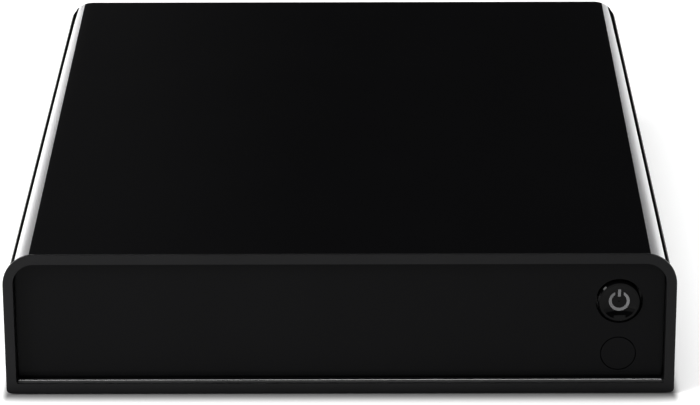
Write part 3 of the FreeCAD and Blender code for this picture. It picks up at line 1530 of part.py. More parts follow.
def make_cables():
    # From the front board, over the drive cage, down to the main board.
    board_back = "front + front_board_setback + board_thick"
    left = "front_board_left + ribbon_inset"
    side = (left, f"{left} + ribbon_width")
    plug_high = "front_board_high - ribbon_plug"
    front_plug = block("ribbon_plug_front", side, (board_back, f"{board_back} + plug_depth"),
                       (f"{plug_high} - ribbon_plug", plug_high))
    main_y = "cage_back + board_front + ribbon_plug"
    main_high = "board_top + ribbon_plug"
    main_plug = block("ribbon_plug_main", side, centred(main_y, "plug_depth"),
                      ("board_top", main_high))
    x = value(left)
    up = value(f"{board_back} + plug_depth / 2")
    over = value("cage_top + ribbon_thick / 2 + joint_gap")
    down = value(main_y)
    strip = ribbon(
        "ribbon_strip",
        [(x, up, value(f"{plug_high} - lip")), (x, up, over), (x, down, over),
         (x, down, value(f"{main_high} - lip"))],
        value("ribbon_bend"), value("ribbon_thick"), value("ribbon_width"), "x",
    )
    keep("front_cable", union("front_cable_whole", front_plug, main_plug, strip))

    # From the drive's board, out of the cage's end, back to the main board.
    gate_z = "cage_ceiling - (cage_gate_low + cage_gate_high) / 2"
    plug_end = "cage_left - plug_depth"
    board_left = "cage_left + cage_sheet + bay_stud_height"
    drive_plug = block("data_plug_drive", (plug_end, board_left),
                       centred("bay_middle", "data_plug_width"),
                       centred(gate_z, "data_width + joint_gap * 4"))
    lane = f"{plug_end} - plug_depth"
    main_spot = "cage_back + board_front + data_plug_place"
    tower = block("data_plug_main", centred(lane, "plug_depth + lip"),
                  (main_spot, f"{main_spot} + data_plug_width"),
                  ("board_top", f"{gate_z} + data_width / 2 + joint_gap * 4"))
    low = value(f"{gate_z} - data_width / 2")
    strip = ribbon(
        "data_strip",
        [(value(f"{plug_end} + lip"), value("bay_middle"), low),
         (value(lane), value("bay_middle"), low), (value(lane), value(f"{main_spot} + lip"), low)],
        value("ribbon_bend"), value("data_thick"), value("data_width"), "z",
    )
    keep("data_cable", union("data_cable_whole", drive_plug, tower, strip))


def check_and_export():
    doc.recompute()
    for thing in doc.Objects:
        if "Invalid" in thing.State or "Error" in thing.State:
            raise RuntimeError(f"{thing.Name} failed: {thing.State}")
    for node, solid in nodes.items():
        if solid.Shape.isNull() or not solid.Shape.isValid() or not solid.Shape.Solids:
            raise RuntimeError(f"{node} has no valid solid")
    os.makedirs("parts", exist_ok=True)
    for node, solid in nodes.items():
        solid.Shape.exportStep(f"parts/{node}.step")
        print(f"{node:20s} {len(solid.Shape.Solids):3d} solids {solid.Shape.Volume:12.1f} mm3")
    print(f"{len(nodes)} nodes")
    for title, formulas in axes.items():
        print(f"{title:16s}", *[f"{value(formula):.3f}" for formula in formulas])


make_front()
board_screws = make_front_board()
make_shell()
make_drive(make_bay())
make_board(board_screws)
make_rear()
make_cables()
check_and_export()
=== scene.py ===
import math

import bmesh
import bpy
from mathutils import Matrix, Vector


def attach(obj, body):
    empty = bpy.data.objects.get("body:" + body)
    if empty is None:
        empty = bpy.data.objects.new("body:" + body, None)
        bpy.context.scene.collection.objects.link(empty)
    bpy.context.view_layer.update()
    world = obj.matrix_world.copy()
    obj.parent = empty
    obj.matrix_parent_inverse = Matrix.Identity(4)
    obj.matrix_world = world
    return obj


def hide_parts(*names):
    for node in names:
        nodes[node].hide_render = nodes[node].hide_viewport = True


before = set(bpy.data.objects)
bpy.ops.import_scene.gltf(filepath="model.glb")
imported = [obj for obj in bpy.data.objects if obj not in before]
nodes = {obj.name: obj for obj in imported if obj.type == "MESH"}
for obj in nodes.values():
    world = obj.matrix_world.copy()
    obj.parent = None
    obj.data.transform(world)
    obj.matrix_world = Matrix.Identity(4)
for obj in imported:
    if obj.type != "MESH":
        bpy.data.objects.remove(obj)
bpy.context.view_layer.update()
mm = 0.001


class Wire:
    # a shader socket that can be used in sums; with no socket it stands for the tree alone
    def __init__(self, tree, socket=None):
        self.tree = tree
        self.socket = socket

    def add(self, kind, settings=None, sockets=None, result=0):
        node = self.tree.nodes.new(kind)
        for name, setting in (settings or {}).items():
            setattr(node, name, setting)
        for name, given in (sockets or {}).items():
            if isinstance(given, Wire):
                self.tree.links.new(given.socket, node.inputs[name])
            else:
                node.inputs[name].default_value = given
        return Wire(self.tree, node.outputs[result])

    def beside(self, result):
        return Wire(self.tree, self.socket.node.outputs[result])

    def maths(self, operation, first, second=0.0):
        return self.add("ShaderNodeMath", {"operation": operation}, {0: first, 1: second})

    def __add__(self, other):
        return self.maths("ADD", self, other)

    def __radd__(self, other):
        return self.maths("ADD", other, self)

    def __sub__(self, other):
        return self.maths("SUBTRACT", self, other)

    def __rsub__(self, other):
        return self.maths("SUBTRACT", other, self)

    def __mul__(self, other):
        return self.maths("MULTIPLY", self, other)

    def __rmul__(self, other):
        return self.maths("MULTIPLY", other, self)


def startFinish(name, fixed):
    # fixed values go on the shader's own sockets, and the returned wire starts its patterns
    material = bpy.data.materials.new(name)
    material.use_nodes = True
    shader = material.node_tree.nodes["Principled BSDF"]
    for socket, number in fixed.items():
        shader.inputs[socket].default_value = number
    return material, shader, Wire(material.node_tree)


def feed(shader, socket, wire):
    wire.tree.links.new(wire.socket, shader.inputs[socket])


def place(wire):
    # a piece's own coordinates in millimetres
    spot = wire.add("ShaderNodeTexCoord", result="Object")
    scale = (1.0 / mm, 1.0 / mm, 1.0 / mm)
    return wire.add("ShaderNodeVectorMath", {"operation": "MULTIPLY"}, {0: spot, 1: scale})


def speckle(wire, spot, size, detail=2.0, stretch=(1.0, 1.0, 1.0)):
    # soft noise from 0 to 1 whose blotches are about size millimetres across
    squeezed = wire.add("ShaderNodeVectorMath", {"operation": "MULTIPLY"}, {0: spot, 1: stretch})
    return wire.add(
        "ShaderNodeTexNoise", {}, {"Vector": squeezed, "Scale": 1.0 / size, "Detail": detail}
    )


def ramp(wire, start, end, first, last):
    # goes smoothly from one number to another while the wire goes from start to end
    return wire.add(
        "ShaderNodeMapRange", {"interpolation_type": "SMOOTHSTEP"},
        {"Value": wire, "From Min": start, "From Max": end, "To Min": first, "To Max": last},
    )


def tint(wire, low, high, mask):
    # a colour between two others; the Mix node's colours are its sockets 6 and 7, and 2 comes out
    return wire.add(
        "ShaderNodeMix", {"data_type": "RGBA"},
        {"Factor": mask, 6: (*low, 1.0), 7: (*high, 1.0)}, result=2,
    )


def bump(wire, height, strength, depth):
    # depth is in metres
    return wire.add(
        "ShaderNodeBump", {}, {"Height": height, "Strength": strength, "Distance": depth}
    )


patterns = {
    "grainDetail": 3.0, "lineDetail": 4.0,
    "lineShare": 0.6, "cloudShare": 0.4,  # how much each of them colours a brushed metal
    "average": 0.5,  # of the noise, which leaves the roughness as it is there
}


def roughen(shader, wire, look):
    # the pattern moves the roughness to both sides of its plain value, and raises the bumps
    feed(shader, "Roughness", look["rough"] + (wire - patterns["average"]) * look["roughSpread"])
    feed(shader, "Normal", bump(wire, wire, look["bumpStrength"], look["bumpDepth"]))


def mouldedPlastic(name, look):
    material, shader, wire = startFinish(name, look.get("fixed", {}))
    spot = place(wire)
    grain = speckle(wire, spot, look["grain"], patterns["grainDetail"])
    cloud = speckle(wire, spot, look["cloud"])
    feed(shader, "Base Color", tint(wire, look["dark"], look["light"], cloud))
    roughen(shader, grain, look)
    return material


def brushedMetal(name, look):
    material, shader, wire = startFinish(name, {"Metallic": 1.0})
    spot = place(wire)
    lines = speckle(wire, spot, look["line"], patterns["lineDetail"], look["stretch"])
    cloud = speckle(wire, spot, look["cloud"])
    mask = lines * patterns["lineShare"] + cloud * patterns["cloudShare"]
    feed(shader, "Base Color", tint(wire, look["dark"], look["light"], mask))
    roughen(shader, lines, look)
    return material


def circuitBoard(name, look):
    material, shader, wire = startFinish(name, look["fixed"])
    spot = place(wire)
    tracks = wire.add(
        "ShaderNodeTexBrick", {},
        {
            "Vector": spot, "Scale": 1.0 / look["cell"], "Mortar Size": look["track"],
            "Mortar Smooth": look["trackEdge"],
        },
        result="Fac",
    )
    mask = tracks * look["trackShare"] + speckle(wire, spot, look["cloud"]) * look["cloudShare"]
    feed(shader, "Base Color", tint(wire, look["lacquer"], look["copper"], mask))
    feed(shader, "Roughness", look["rough"] - tracks * look["shine"])
    feed(shader, "Normal", bump(wire, tracks, look["bumpStrength"], look["bumpDepth"]))
    return material


# dark and light are the two ends of a finish's colour; grain, line and cloud are the sizes of its
# patterns in millimetres, and stretch draws the lines out along an axis
blacks = {
    "frame": {
        "dark": (0.0036, 0.0036, 0.0039), "light": (0.0056, 0.0056, 0.006), "rough": 0.34,
        "roughSpread": 0.05, "grain": 0.22, "cloud": 18.0, "bumpStrength": 0.08,
        "bumpDepth": 0.02 * mm, "fixed": {"Specular IOR Level": 0.1},
    },
    "panel": {
        "dark": (0.0018, 0.0018, 0.002), "light": (0.0027, 0.0027, 0.003), "rough": 0.24,
        "roughSpread": 0.04, "grain": 0.3, "cloud": 30.0, "bumpStrength": 0.04,
        "bumpDepth": 0.015 * mm, "fixed": {"Specular IOR Level": 0.04},
    },
    "cover": {
        "dark": (0.0016, 0.0016, 0.0018), "light": (0.0022, 0.0022, 0.0025), "rough": 0.08,
        "roughSpread": 0.02, "grain": 0.5, "cloud": 40.0, "bumpStrength": 0.02,
        "bumpDepth": 0.01 * mm, "fixed": {"Specular IOR Level": 0.12},
    },
    "button": {
        "dark": (0.001, 0.001, 0.0011), "light": (0.0014, 0.0014, 0.0015), "rough": 0.05,
        "roughSpread": 0.02, "grain": 0.4, "cloud": 8.0, "bumpStrength": 0.01,
        "bumpDepth": 0.01 * mm, "fixed": {"Specular IOR Level": 0.07},
    },
    "wall": {
        "dark": (0.004, 0.004, 0.0043), "light": (0.0065, 0.0065, 0.007), "rough": 0.42,
        "roughSpread": 0.06, "grain": 0.25, "cloud": 25.0, "bumpStrength": 0.08,
        "bumpDepth": 0.02 * mm, "fixed": {"Specular IOR Level": 0.03},
    },
    # near-black and without shine: painted shade for the groove beside each bright trim
    "foam": {
        "dark": (0.002, 0.002, 0.002), "light": (0.004, 0.004, 0.004), "rough": 0.95,
        "roughSpread": 0.05, "grain": 0.3, "cloud": 4.0, "bumpStrength": 0.5,
        "bumpDepth": 0.08 * mm, "fixed": {"Specular IOR Level": 0.0},
    },
    "inner": {
        "dark": (0.009, 0.009, 0.0095), "light": (0.015, 0.015, 0.016), "rough": 0.55,
        "roughSpread": 0.1, "grain": 0.3, "cloud": 9.0, "bumpStrength": 0.25,
        "bumpDepth": 0.04 * mm, "fixed": {"Specular IOR Level": 0.4},
    },
    "painted": {
        "dark": (0.006, 0.006, 0.0064), "light": (0.009, 0.009, 0.0095), "rough": 0.5,
        "roughSpread": 0.1, "grain": 0.35, "cloud": 20.0, "bumpStrength": 0.35,
        "bumpDepth": 0.04 * mm, "fixed": {"Specular IOR Level": 0.18},
    },
    "connector": {
        "dark": (0.008, 0.008, 0.008), "light": (0.014, 0.014, 0.014), "rough": 0.42,
        "roughSpread": 0.08, "grain": 0.2, "cloud": 5.0, "bumpStrength": 0.15,
        "bumpDepth": 0.02 * mm,
    },
    "rubber": {
        "dark": (0.012, 0.012, 0.012), "light": (0.022, 0.022, 0.022), "rough": 0.82,
        "roughSpread": 0.1, "grain": 0.35, "cloud": 4.0, "bumpStrength": 0.4,
        "bumpDepth": 0.06 * mm, "fixed": {"Specular IOR Level": 0.3},
    },
}
plastics = {
    "tray": {
        "dark": (0.03, 0.03, 0.033), "light": (0.045, 0.045, 0.05), "rough": 0.5,
        "roughSpread": 0.1, "grain": 0.3, "cloud": 12.0, "bumpStrength": 0.25,
        "bumpDepth": 0.04 * mm,
    },
    "symbol": {
        "dark": (0.08, 0.08, 0.083), "light": (0.13, 0.13, 0.134), "rough": 0.5,
        "roughSpread": 0.06, "grain": 0.15, "cloud": 3.0, "bumpStrength": 0.05,
        "bumpDepth": 0.01 * mm,
    },
    "yellow": {
        "dark": (0.72, 0.5, 0.012), "light": (0.82, 0.6, 0.02), "rough": 0.4,
        "roughSpread": 0.06, "grain": 0.2, "cloud": 3.0, "bumpStrength": 0.1,
        "bumpDepth": 0.01 * mm,
    },
    "white": {
        "dark": (0.7, 0.7, 0.69), "light": (0.8, 0.8, 0.79), "rough": 0.4,
        "roughSpread": 0.06, "grain": 0.2, "cloud": 3.0, "bumpStrength": 0.1,
        "bumpDepth": 0.01 * mm,
    },
    "red": {
        "dark": (0.5, 0.012, 0.012), "light": (0.62, 0.02, 0.018), "rough": 0.4,
        "roughSpread": 0.06, "grain": 0.2, "cloud": 3.0, "bumpStrength": 0.1,
        "bumpDepth": 0.01 * mm,
    },
    "lamp": {
        "dark": (0.4, 0.6, 0.42), "light": (0.5, 0.7, 0.5), "rough": 0.15,
        "roughSpread": 0.03, "grain": 0.2, "cloud": 1.0, "bumpStrength": 0.05,
        "bumpDepth": 0.01 * mm,
    },
    "cable": {
        "dark": (0.32, 0.32, 0.34), "light": (0.42, 0.42, 0.44), "rough": 0.55,
        "roughSpread": 0.08, "grain": 0.5, "cloud": 6.0, "bumpStrength": 0.2,
        "bumpDepth": 0.03 * mm,
    },
}
metals = {
    "trim": {
        "dark": (0.9, 0.9, 0.91), "light": (0.96, 0.96, 0.97), "rough": 0.36,
        "roughSpread": 0.06, "line": 0.12, "cloud": 20.0, "stretch": (1.0, 0.01, 1.0),
        "bumpStrength": 0.05, "bumpDepth": 0.01 * mm,
    },
    "chrome": {
        "dark": (0.8, 0.8, 0.8), "light": (0.95, 0.95, 0.95), "rough": 0.14,
        "roughSpread": 0.03, "line": 0.2, "cloud": 30.0, "stretch": (0.02, 1.0, 1.0),
        "bumpStrength": 0.01, "bumpDepth": 0.002 * mm,
    },
    "plated": {
        "dark": (0.33, 0.33, 0.33), "light": (0.46, 0.46, 0.45), "rough": 0.3,
        "roughSpread": 0.1, "line": 0.15, "cloud": 3.0, "stretch": (0.2, 1.0, 1.0),
        "bumpStrength": 0.08, "bumpDepth": 0.01 * mm,
    },
    "zinc": {
        "dark": (0.5, 0.5, 0.49), "light": (0.66, 0.66, 0.65), "rough": 0.3,
        "roughSpread": 0.1, "line": 0.2, "cloud": 1.5, "stretch": (1.0, 1.0, 1.0),
        "bumpStrength": 0.1, "bumpDepth": 0.02 * mm,
    },
    "blackened": {
        "dark": (0.03, 0.03, 0.032), "light": (0.06, 0.06, 0.062), "rough": 0.38,
        "roughSpread": 0.1, "line": 0.2, "cloud": 1.5, "stretch": (1.0, 1.0, 1.0),
        "bumpStrength": 0.1, "bumpDepth": 0.02 * mm,
    },
    "sheet": {
        "dark": (0.42, 0.42, 0.43), "light": (0.58, 0.58, 0.59), "rough": 0.36,
        "roughSpread": 0.12, "line": 0.3, "cloud": 9.0, "stretch": (0.04, 1.0, 1.0),
        "bumpStrength": 0.08, "bumpDepth": 0.02 * mm,
    },
    "cast": {
        "dark": (0.34, 0.34, 0.34), "light": (0.46, 0.46, 0.46), "rough": 0.5,
        "roughSpread": 0.14, "line": 0.5, "cloud": 8.0, "stretch": (1.0, 1.0, 1.0),
        "bumpStrength": 0.4, "bumpDepth": 0.06 * mm,
    },
    "lid": {
        "dark": (0.52, 0.52, 0.52), "light": (0.66, 0.66, 0.66), "rough": 0.26,
        "roughSpread": 0.12, "line": 0.14, "cloud": 14.0, "stretch": (0.015, 1.0, 1.0),
        "bumpStrength": 0.06, "bumpDepth": 0.01 * mm,
    },
    "disc": {
        "dark": (0.78, 0.78, 0.79), "light": (0.84, 0.84, 0.85), "rough": 0.05,
        "roughSpread": 0.02, "line": 0.5, "cloud": 20.0, "stretch": (1.0, 1.0, 1.0),
        "bumpStrength": 0.01, "bumpDepth": 0.01 * mm,
    },
    "machined": {
        "dark": (0.5, 0.5, 0.51), "light": (0.66, 0.66, 0.67), "rough": 0.3,
        "roughSpread": 0.1, "line": 0.2, "cloud": 6.0, "stretch": (1.0, 0.05, 1.0),
        "bumpStrength": 0.1, "bumpDepth": 0.02 * mm,
    },
    "gold": {
        "dark": (0.75, 0.5, 0.16), "light": (0.85, 0.6, 0.22), "rough": 0.22,
        "roughSpread": 0.06, "line": 0.2, "cloud": 3.0, "stretch": (1.0, 1.0, 1.0),
        "bumpStrength": 0.04, "bumpDepth": 0.01 * mm,
    },
    "nickel": {
        "dark": (0.62, 0.59, 0.53), "light": (0.76, 0.73, 0.67), "rough": 0.16,
        "roughSpread": 0.06, "line": 0.2, "cloud": 3.0, "stretch": (1.0, 1.0, 1.0),
        "bumpStrength": 0.04, "bumpDepth": 0.01 * mm,
    },
}
boards = {
    "green": {
        "cell": 6.0, "cloud": 4.0,  # millimetres
        "track": 0.035, "trackEdge": 0.2,  # shares of a cell
        "lacquer": (0.008, 0.06, 0.022), "copper": (0.03, 0.16, 0.07),
        "trackShare": 0.7, "cloudShare": 0.2,  # how much each of them brings the copper out
        "rough": 0.42, "shine": 0.12, "bumpStrength": 0.25, "bumpDepth": 0.05 * mm,
        "fixed": {"Coat Weight": 0.3, "Coat Roughness": 0.15},
    },
}
finishes = {f"black {name}": mouldedPlastic(f"black {name}", look) for name, look in blacks.items()}
finishes |= {name: mouldedPlastic(f"plastic {name}", look) for name, look in plastics.items()}
finishes |= {name: brushedMetal(f"metal {name}", look) for name, look in metals.items()}
finishes |= {name: circuitBoard(f"board {name}", look) for name, look in boards.items()}
print("finishes", len(finishes))


wearing = {  # finish: the pieces that have it
    "black frame": ["front_frame"],
    "black panel": ["front_panel", "ir_window"],
    "black cover": ["top_cover"],
    "black button": ["power_button"],
    "black wall": ["side_wall_left", "side_wall_right", "bottom_plate", "tray_face", "tray_lever"],
    "black painted": ["rear_panel"],
    "black inner": [
        "button_guide", "front_board_posts", "fan_frame", "fan_rotor", "switch_plunger",
    ],
    "black connector": [
        "ir_receiver", "main_chip", "memory_chips", "bay_connector", "optical_socket",
        "power_socket", "av_block",
    ],
    "black rubber": ["rubber_feet"],
    "tray": ["drive_tray"],
    "symbol": ["power_symbol"],
    "yellow": ["av_ring_yellow"],
    "white": ["av_ring_white"],
    "red": ["av_ring_red"],
    "lamp": ["status_led"],
    "cable": ["front_cable", "data_cable"],
    "trim": ["edge_trim_left", "edge_trim_right"],
    "chrome": ["sill_strip"],
    "plated": ["tact_switch", "hdmi_socket", "usb_socket", "lan_socket"],
    "zinc": ["drive_screws", "lid_screws", "board_screws", "lever_pin", "board_standoffs"],
    "blackened": ["bottom_screws", "rear_screws"],
    "sheet": ["drive_cage"],
    "cast": ["drive_case"],
    "lid": ["drive_lid"],
    "disc": ["platter_stack"],
    "machined": ["head_arm", "heat_sink", "capacitors"],
    "nickel": ["power_pin", "av_barrels"],
    "green": ["front_board", "bay_board", "main_board", "drive_circuit"],
}
softened = {  # how far the edges of the pieces that show are rounded, in millimetres
    "front_frame": 0.3, "front_panel": 0.2, "tray_face": 0.2, "tray_lever": 0.3, "av_block": 0.3,
    "sill_strip": 0.1, "lan_socket": 0.15, "usb_socket": 0.1, "hdmi_socket": 0.1,
}
rounding = {
    "merge": 0.0005,  # points closer than this are one, in millimetres
    "steps": 3, "sharper": 32.0,  # only edges that turn by more degrees than this are rounded
}


def soften(piece, width):
    weld = piece.modifiers.new("weld", "WELD")
    weld.merge_threshold = rounding["merge"] * mm
    bevel = piece.modifiers.new("soften", "BEVEL")
    bevel.width = width * mm
    bevel.segments = rounding["steps"]
    bevel.limit_method = "ANGLE"
    bevel.angle_limit = math.radians(rounding["sharper"])
    bevel.use_clamp_overlap = True
    bevel.harden_normals = True


for finish, members in wearing.items():
    for member in members:
        nodes[member].data.materials.clear()
        nodes[member].data.materials.append(finishes[finish])
for member, width in softened.items():
    soften(nodes[member], width)
print("dressed", sum(len(members) for members in wearing.values()), "of", len(nodes))


def makePiece(name, points, faces, finish, body, slot, sharp=30.0):
    # points in millimetres; edges that turn by more than sharp, in degrees, stay sharp
    mesh = bpy.data.meshes.new(name)
    mesh.from_pydata([Vector(point) * mm for point in points], [], faces)
    outward = bmesh.new()
    outward.from_mesh(mesh)
    bmesh.ops.recalc_face_normals(outward, faces=outward.faces)
    outward.to_mesh(mesh)
    outward.free()
    piece = bpy.data.objects.new(name, mesh)
    bpy.context.scene.collection.objects.link(piece)
    mesh.materials.append(finishes[finish])
    mesh.shade_smooth()
    mesh.set_sharp_from_angle(angle=math.radians(sharp))
    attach(piece, body)
    return piece


def bands(rings, count):
    # the faces between one ring of count points and the next
    return [
        (ring * count + n, ring * count + (n + 1) % count,
         (ring + 1) * count + (n + 1) % count, (ring + 1) * count + n)
        for ring in range(rings - 1) for n in range(count)
    ]


def lofted(sections):
    # the points and faces between closed outlines in X and Z, each with its place along Y
    count = len(sections[0][1])
    points = [(x, y, z) for y, outline in sections for x, z in outline]
    ends = [tuple(range(count)), tuple(range(len(points) - count, len(points)))]
    return points, bands(len(sections), count) + ends


def slabs(corners):
    # the points and faces of thin plates, each given as its lowest and highest X, Y and Z
    points, faces = [], []
    for x0, x1, y0, y1, z0, z1 in corners:
        first = len(points)
        points += [(x, y, z) for z in (z0, z1) for x, y in ((x0, y0), (x1, y0), (x1, y1), (x0, y1))]
        ends = [(3, 2, 1, 0), (4, 5, 6, 7)]
        faces += [tuple(first + n for n in face) for face in [*ends, *bands(2, 4)]]
    return points, faces


def lathe(profile, middle, steps):
    # the points and faces of a closed outline of radius and Y turned about an axis along Y
    turns = [math.tau * step / steps for step in range(steps)]
    points = [
        (middle[0] + radius * math.cos(turn), y, middle[1] + radius * math.sin(turn))
        for turn in turns for radius, y in profile
    ]
    # the band after the last ring comes back to the first
    around = bands(steps + 1, len(profile))
    return points, [tuple(n % len(points) for n in face) for face in around]


def joined(parts):
    # several shapes as one, each given as its points and faces
    points, faces = [], []
    for more, around in parts:
        faces += [tuple(len(points) + n for n in face) for face in around]
        points += more
    return points, faces


grooveShadeStrip = {  # a near-black strip in the gap between each bright trim and its wall, put there as painted shade for the groove's shadow, in millimetres
    "from": 97.95, "to": 96.9,  # across the gap, from the middle of the body
    "centre": (91.0, 35.4), "top": 7.9, "under": 7.3,  # the rounding that it follows
    "lipTop": 8.05, "lipUnder": 7.9, "lipRoot": 0.05,
    # places along it, and how far its lip covers the trim there
    "lips": ((-125.8, 0.02), (60.0, 0.12), (110.0, 0.35), (123.9, 0.8)),
    "steps": 4,
}


def makeGrooveShadeStrips():
    middle, height = grooveShadeStrip["centre"]
    steps = grooveShadeStrip["steps"]

    def arc(radius, start, end):
        first, last = [math.acos((x - middle) / radius) for x in (start, end)]
        angles = [first + (last - first) * step / steps for step in range(steps + 1)]
        return [(middle + radius * math.cos(a), height + radius * math.sin(a)) for a in angles]

    edge = grooveShadeStrip["to"] - grooveShadeStrip["lipRoot"]
    sections = []
    for y, reach in grooveShadeStrip["lips"]:
        sections.append((y, [
            *arc(grooveShadeStrip["top"], grooveShadeStrip["from"], grooveShadeStrip["to"]),
            *arc(grooveShadeStrip["lipTop"], grooveShadeStrip["to"], edge - reach),
            *arc(grooveShadeStrip["lipUnder"], edge - reach, edge),
            *arc(grooveShadeStrip["under"], grooveShadeStrip["to"], grooveShadeStrip["from"]),
        ]))
    # each strip is a near-black piece that stands in for the shadow in the groove: painted shade
    for side, mark in (("left", -1), ("right", 1)):
        turned = [(y, [(mark * x, z) for x, z in outline]) for y, outline in sections]
        makePiece(f"edge_groove_shade_{side}", *lofted(turned), "black foam", "chassis", "wall_black")


makeGrooveShadeStrips()
print("groove_shade_strips laid")


jacks = {  # the three round jacks, in millimetres
    "places": {"yellow": 28.0, "white": 41.0, "red": 54.0}, "height": 16.25,
    "back": 122.35, "tip": 132.0, "radius": 4.15, "wall": 0.75, "chamfer": 0.25, "hole": 1.6,
    "sunk": 0.5, "deep": 3.0,  # how far the insulator's face and back lie inside the tip
    "fit": 0.02, "overlap": 0.1,  # of the insulator in the shell, and over the hole's edge
    "lip": 0.35, "lipSlope": 0.25, "lipHeight": 0.3, "lipInside": 0.05,
    "steps": 48,
}


def makeJacks():
    tip, radius, chamfer = jacks["tip"], jacks["radius"], jacks["chamfer"]
    inner = radius - jacks["wall"]
    hole = jacks["hole"]
    face, deep = tip - jacks["sunk"], tip - jacks["deep"]
    shell = [
        (radius, jacks["back"]), (radius, tip - chamfer), (radius - chamfer, tip),
        (inner + chamfer / 2, tip), (inner, tip - chamfer / 2), (inner, deep),
        (hole, deep), (hole, jacks["back"]),
    ]
    outer, lip = inner - jacks["fit"], hole + jacks["lip"]
    within, raised = hole - jacks["overlap"], face + jacks["lipHeight"]
    plug = [
        (outer, deep), (outer, face), (lip + jacks["lipSlope"], face), (lip, raised),
        (hole + jacks["lipInside"], raised), (within, face), (within, deep),
    ]
    spots = {colour: (x, jacks["height"]) for colour, x in jacks["places"].items()}
    turned = joined([lathe(shell, spot, jacks["steps"]) for spot in spots.values()])
    shells = makePiece("av_shells", *turned, "nickel", "chassis", "nickel")
    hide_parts("av_barrels")
    for colour, spot in spots.items():
        turned = lathe(plug, spot, jacks["steps"])
        makePiece(f"av_insulator_{colour}", *turned, colour, "chassis", f"ring_{colour}")


makeJacks()
print("round jacks fitted")


network = {  # the network socket's lining and its contacts, in millimetres
    "middle": -24.0, "width": 11.9, "low": 12.95, "high": 20.15, "face": 123.8, "deep": 12.0,
    "gap": 0.05, "sheet": 0.12, "catchWidth": 6.0, "catchDeep": 6.0, "sunk": 0.2,
    "contacts": 8, "pitch": 1.02, "contactWidth": 0.4, "contactThick": 0.2,
    "route": ((122.3, 20.0), (121.6, 19.85), (117.0, 16.9), (116.2, 16.9), (114.0, 18.2)),
}


def makeNetworkSocket():
    middle = network["middle"]
    left = middle - network["width"] / 2 + network["gap"]
    right = middle + network["width"] / 2 - network["gap"]
    low, high = network["low"] + network["gap"], network["high"] - network["gap"]
    back = network["face"] - network["deep"] + network["gap"]
    front = network["face"] - network["sunk"]
    sheet = network["sheet"]
    catch = network["catchWidth"] / 2
    behind = network["face"] - network["catchDeep"]
    lining = slabs([
        (left, left + sheet, back, front, low, high),
        (right - sheet, right, back, front, low, high),
        (left + sheet, right - sheet, back, front, high - sheet, high),
        (left + sheet, right - sheet, back, back + sheet, low, high - sheet),
        (left + sheet, right - sheet, back + sheet, behind, low, low + sheet),
        (left + sheet, middle - catch, behind, front, low, low + sheet),
        (middle + catch, right - sheet, behind, front, low, low + sheet),
    ])
    makePiece("lan_lining", *lining, "black connector", "chassis", "plastic_black")
    half, thick = network["contactWidth"] / 2, network["contactThick"]
    wires = []
    for number in range(network["contacts"]):
        x = middle + (number - (network["contacts"] - 1) / 2) * network["pitch"]
        wires.append(lofted([
            (y, [(x - half, z), (x + half, z), (x + half, z - thick), (x - half, z - thick)])
            for y, z in network["route"]
        ]))
    makePiece("lan_contacts", *joined(wires), "gold", "chassis", "nickel")


makeNetworkSocket()
print("network socket fitted")


tongues = {  # the plastic tongues in the flat sockets and their contacts, in millimetres
    "usb": {
        "middle": -43.0, "half": 5.4, "from": 111.85, "to": 122.35,
        "levels": ((13.85, 15.75), (21.75, 23.65)),
        "contacts": (-3.5, -1.0, 1.0, 3.5), "contactHalf": 0.5,
        "contactsFrom": 113.2, "contactsTo": 121.6, "sides": (-1,),  # only underneath
    },
    "hdmi": {
        "middle": -4.0, "half": 5.3, "from": 114.85, "to": 122.35,
        "levels": ((12.15, 13.75),),
        "contacts": tuple(n - 4.5 for n in range(10)), "contactHalf": 0.25,
        "contactsFrom": 116.0, "contactsTo": 121.9, "sides": (-1, 1),
    },
    "skin": 0.06, "contactThick": 0.1,
}


def makeTongues():
    skin, thick = tongues["skin"], tongues["contactThick"]
    for name in ("usb", "hdmi"):
        tongue = tongues[name]
        middle, half = tongue["middle"], tongue["contactHalf"]
        left, right = middle - tongue["half"] - skin, middle + tongue["half"] + skin
        back, tip = tongue["from"], tongue["to"]
        covers, contacts = [], []
        for low, high in tongue["levels"]:
            covers += [
                (left, right, back, tip, low - skin, low),
                (left, right, back, tip, high, high + skin),
                (left, left + skin, back, tip, low, high),
                (right - skin, right, back, tip, low, high),
                (left, right, tip, tip + skin, low - skin, high + skin),
            ]
            for side in tongue["sides"]:
                under = low - skin - thick if side < 0 else high + skin
                contacts += [
                    (middle + x - half, middle + x + half,
                     tongue["contactsFrom"], tongue["contactsTo"], under, under + thick)
                    for x in tongue["contacts"]
                ]
        makePiece(f"{name}_tongues", *slabs(covers), "black connector", "chassis", "plastic_black")
        makePiece(f"{name}_contacts", *slabs(contacts), "gold", "chassis", "nickel")


makeTongues()
print("flat sockets fitted")


pressing = {  # the raised part of the drive's lid, in millimetres
    # the rounds that its outline runs about, each with its radius
    "rounds": (((41.65, -53.0), 45.0), ((-38.0, -82.0), 9.0), ((-38.0, -24.0), 9.0)),
    "from": 33.45, "to": 33.8, "slope": 0.7, "steps": 120,
    # the groove about the spindle's screw
    "spindle": (41.65, -53.0), "spindleRadii": (9.0, 8.4, 3.2, 2.8), "spindleSunk": 0.22,
    "sharp": 12.0,  # degrees
}


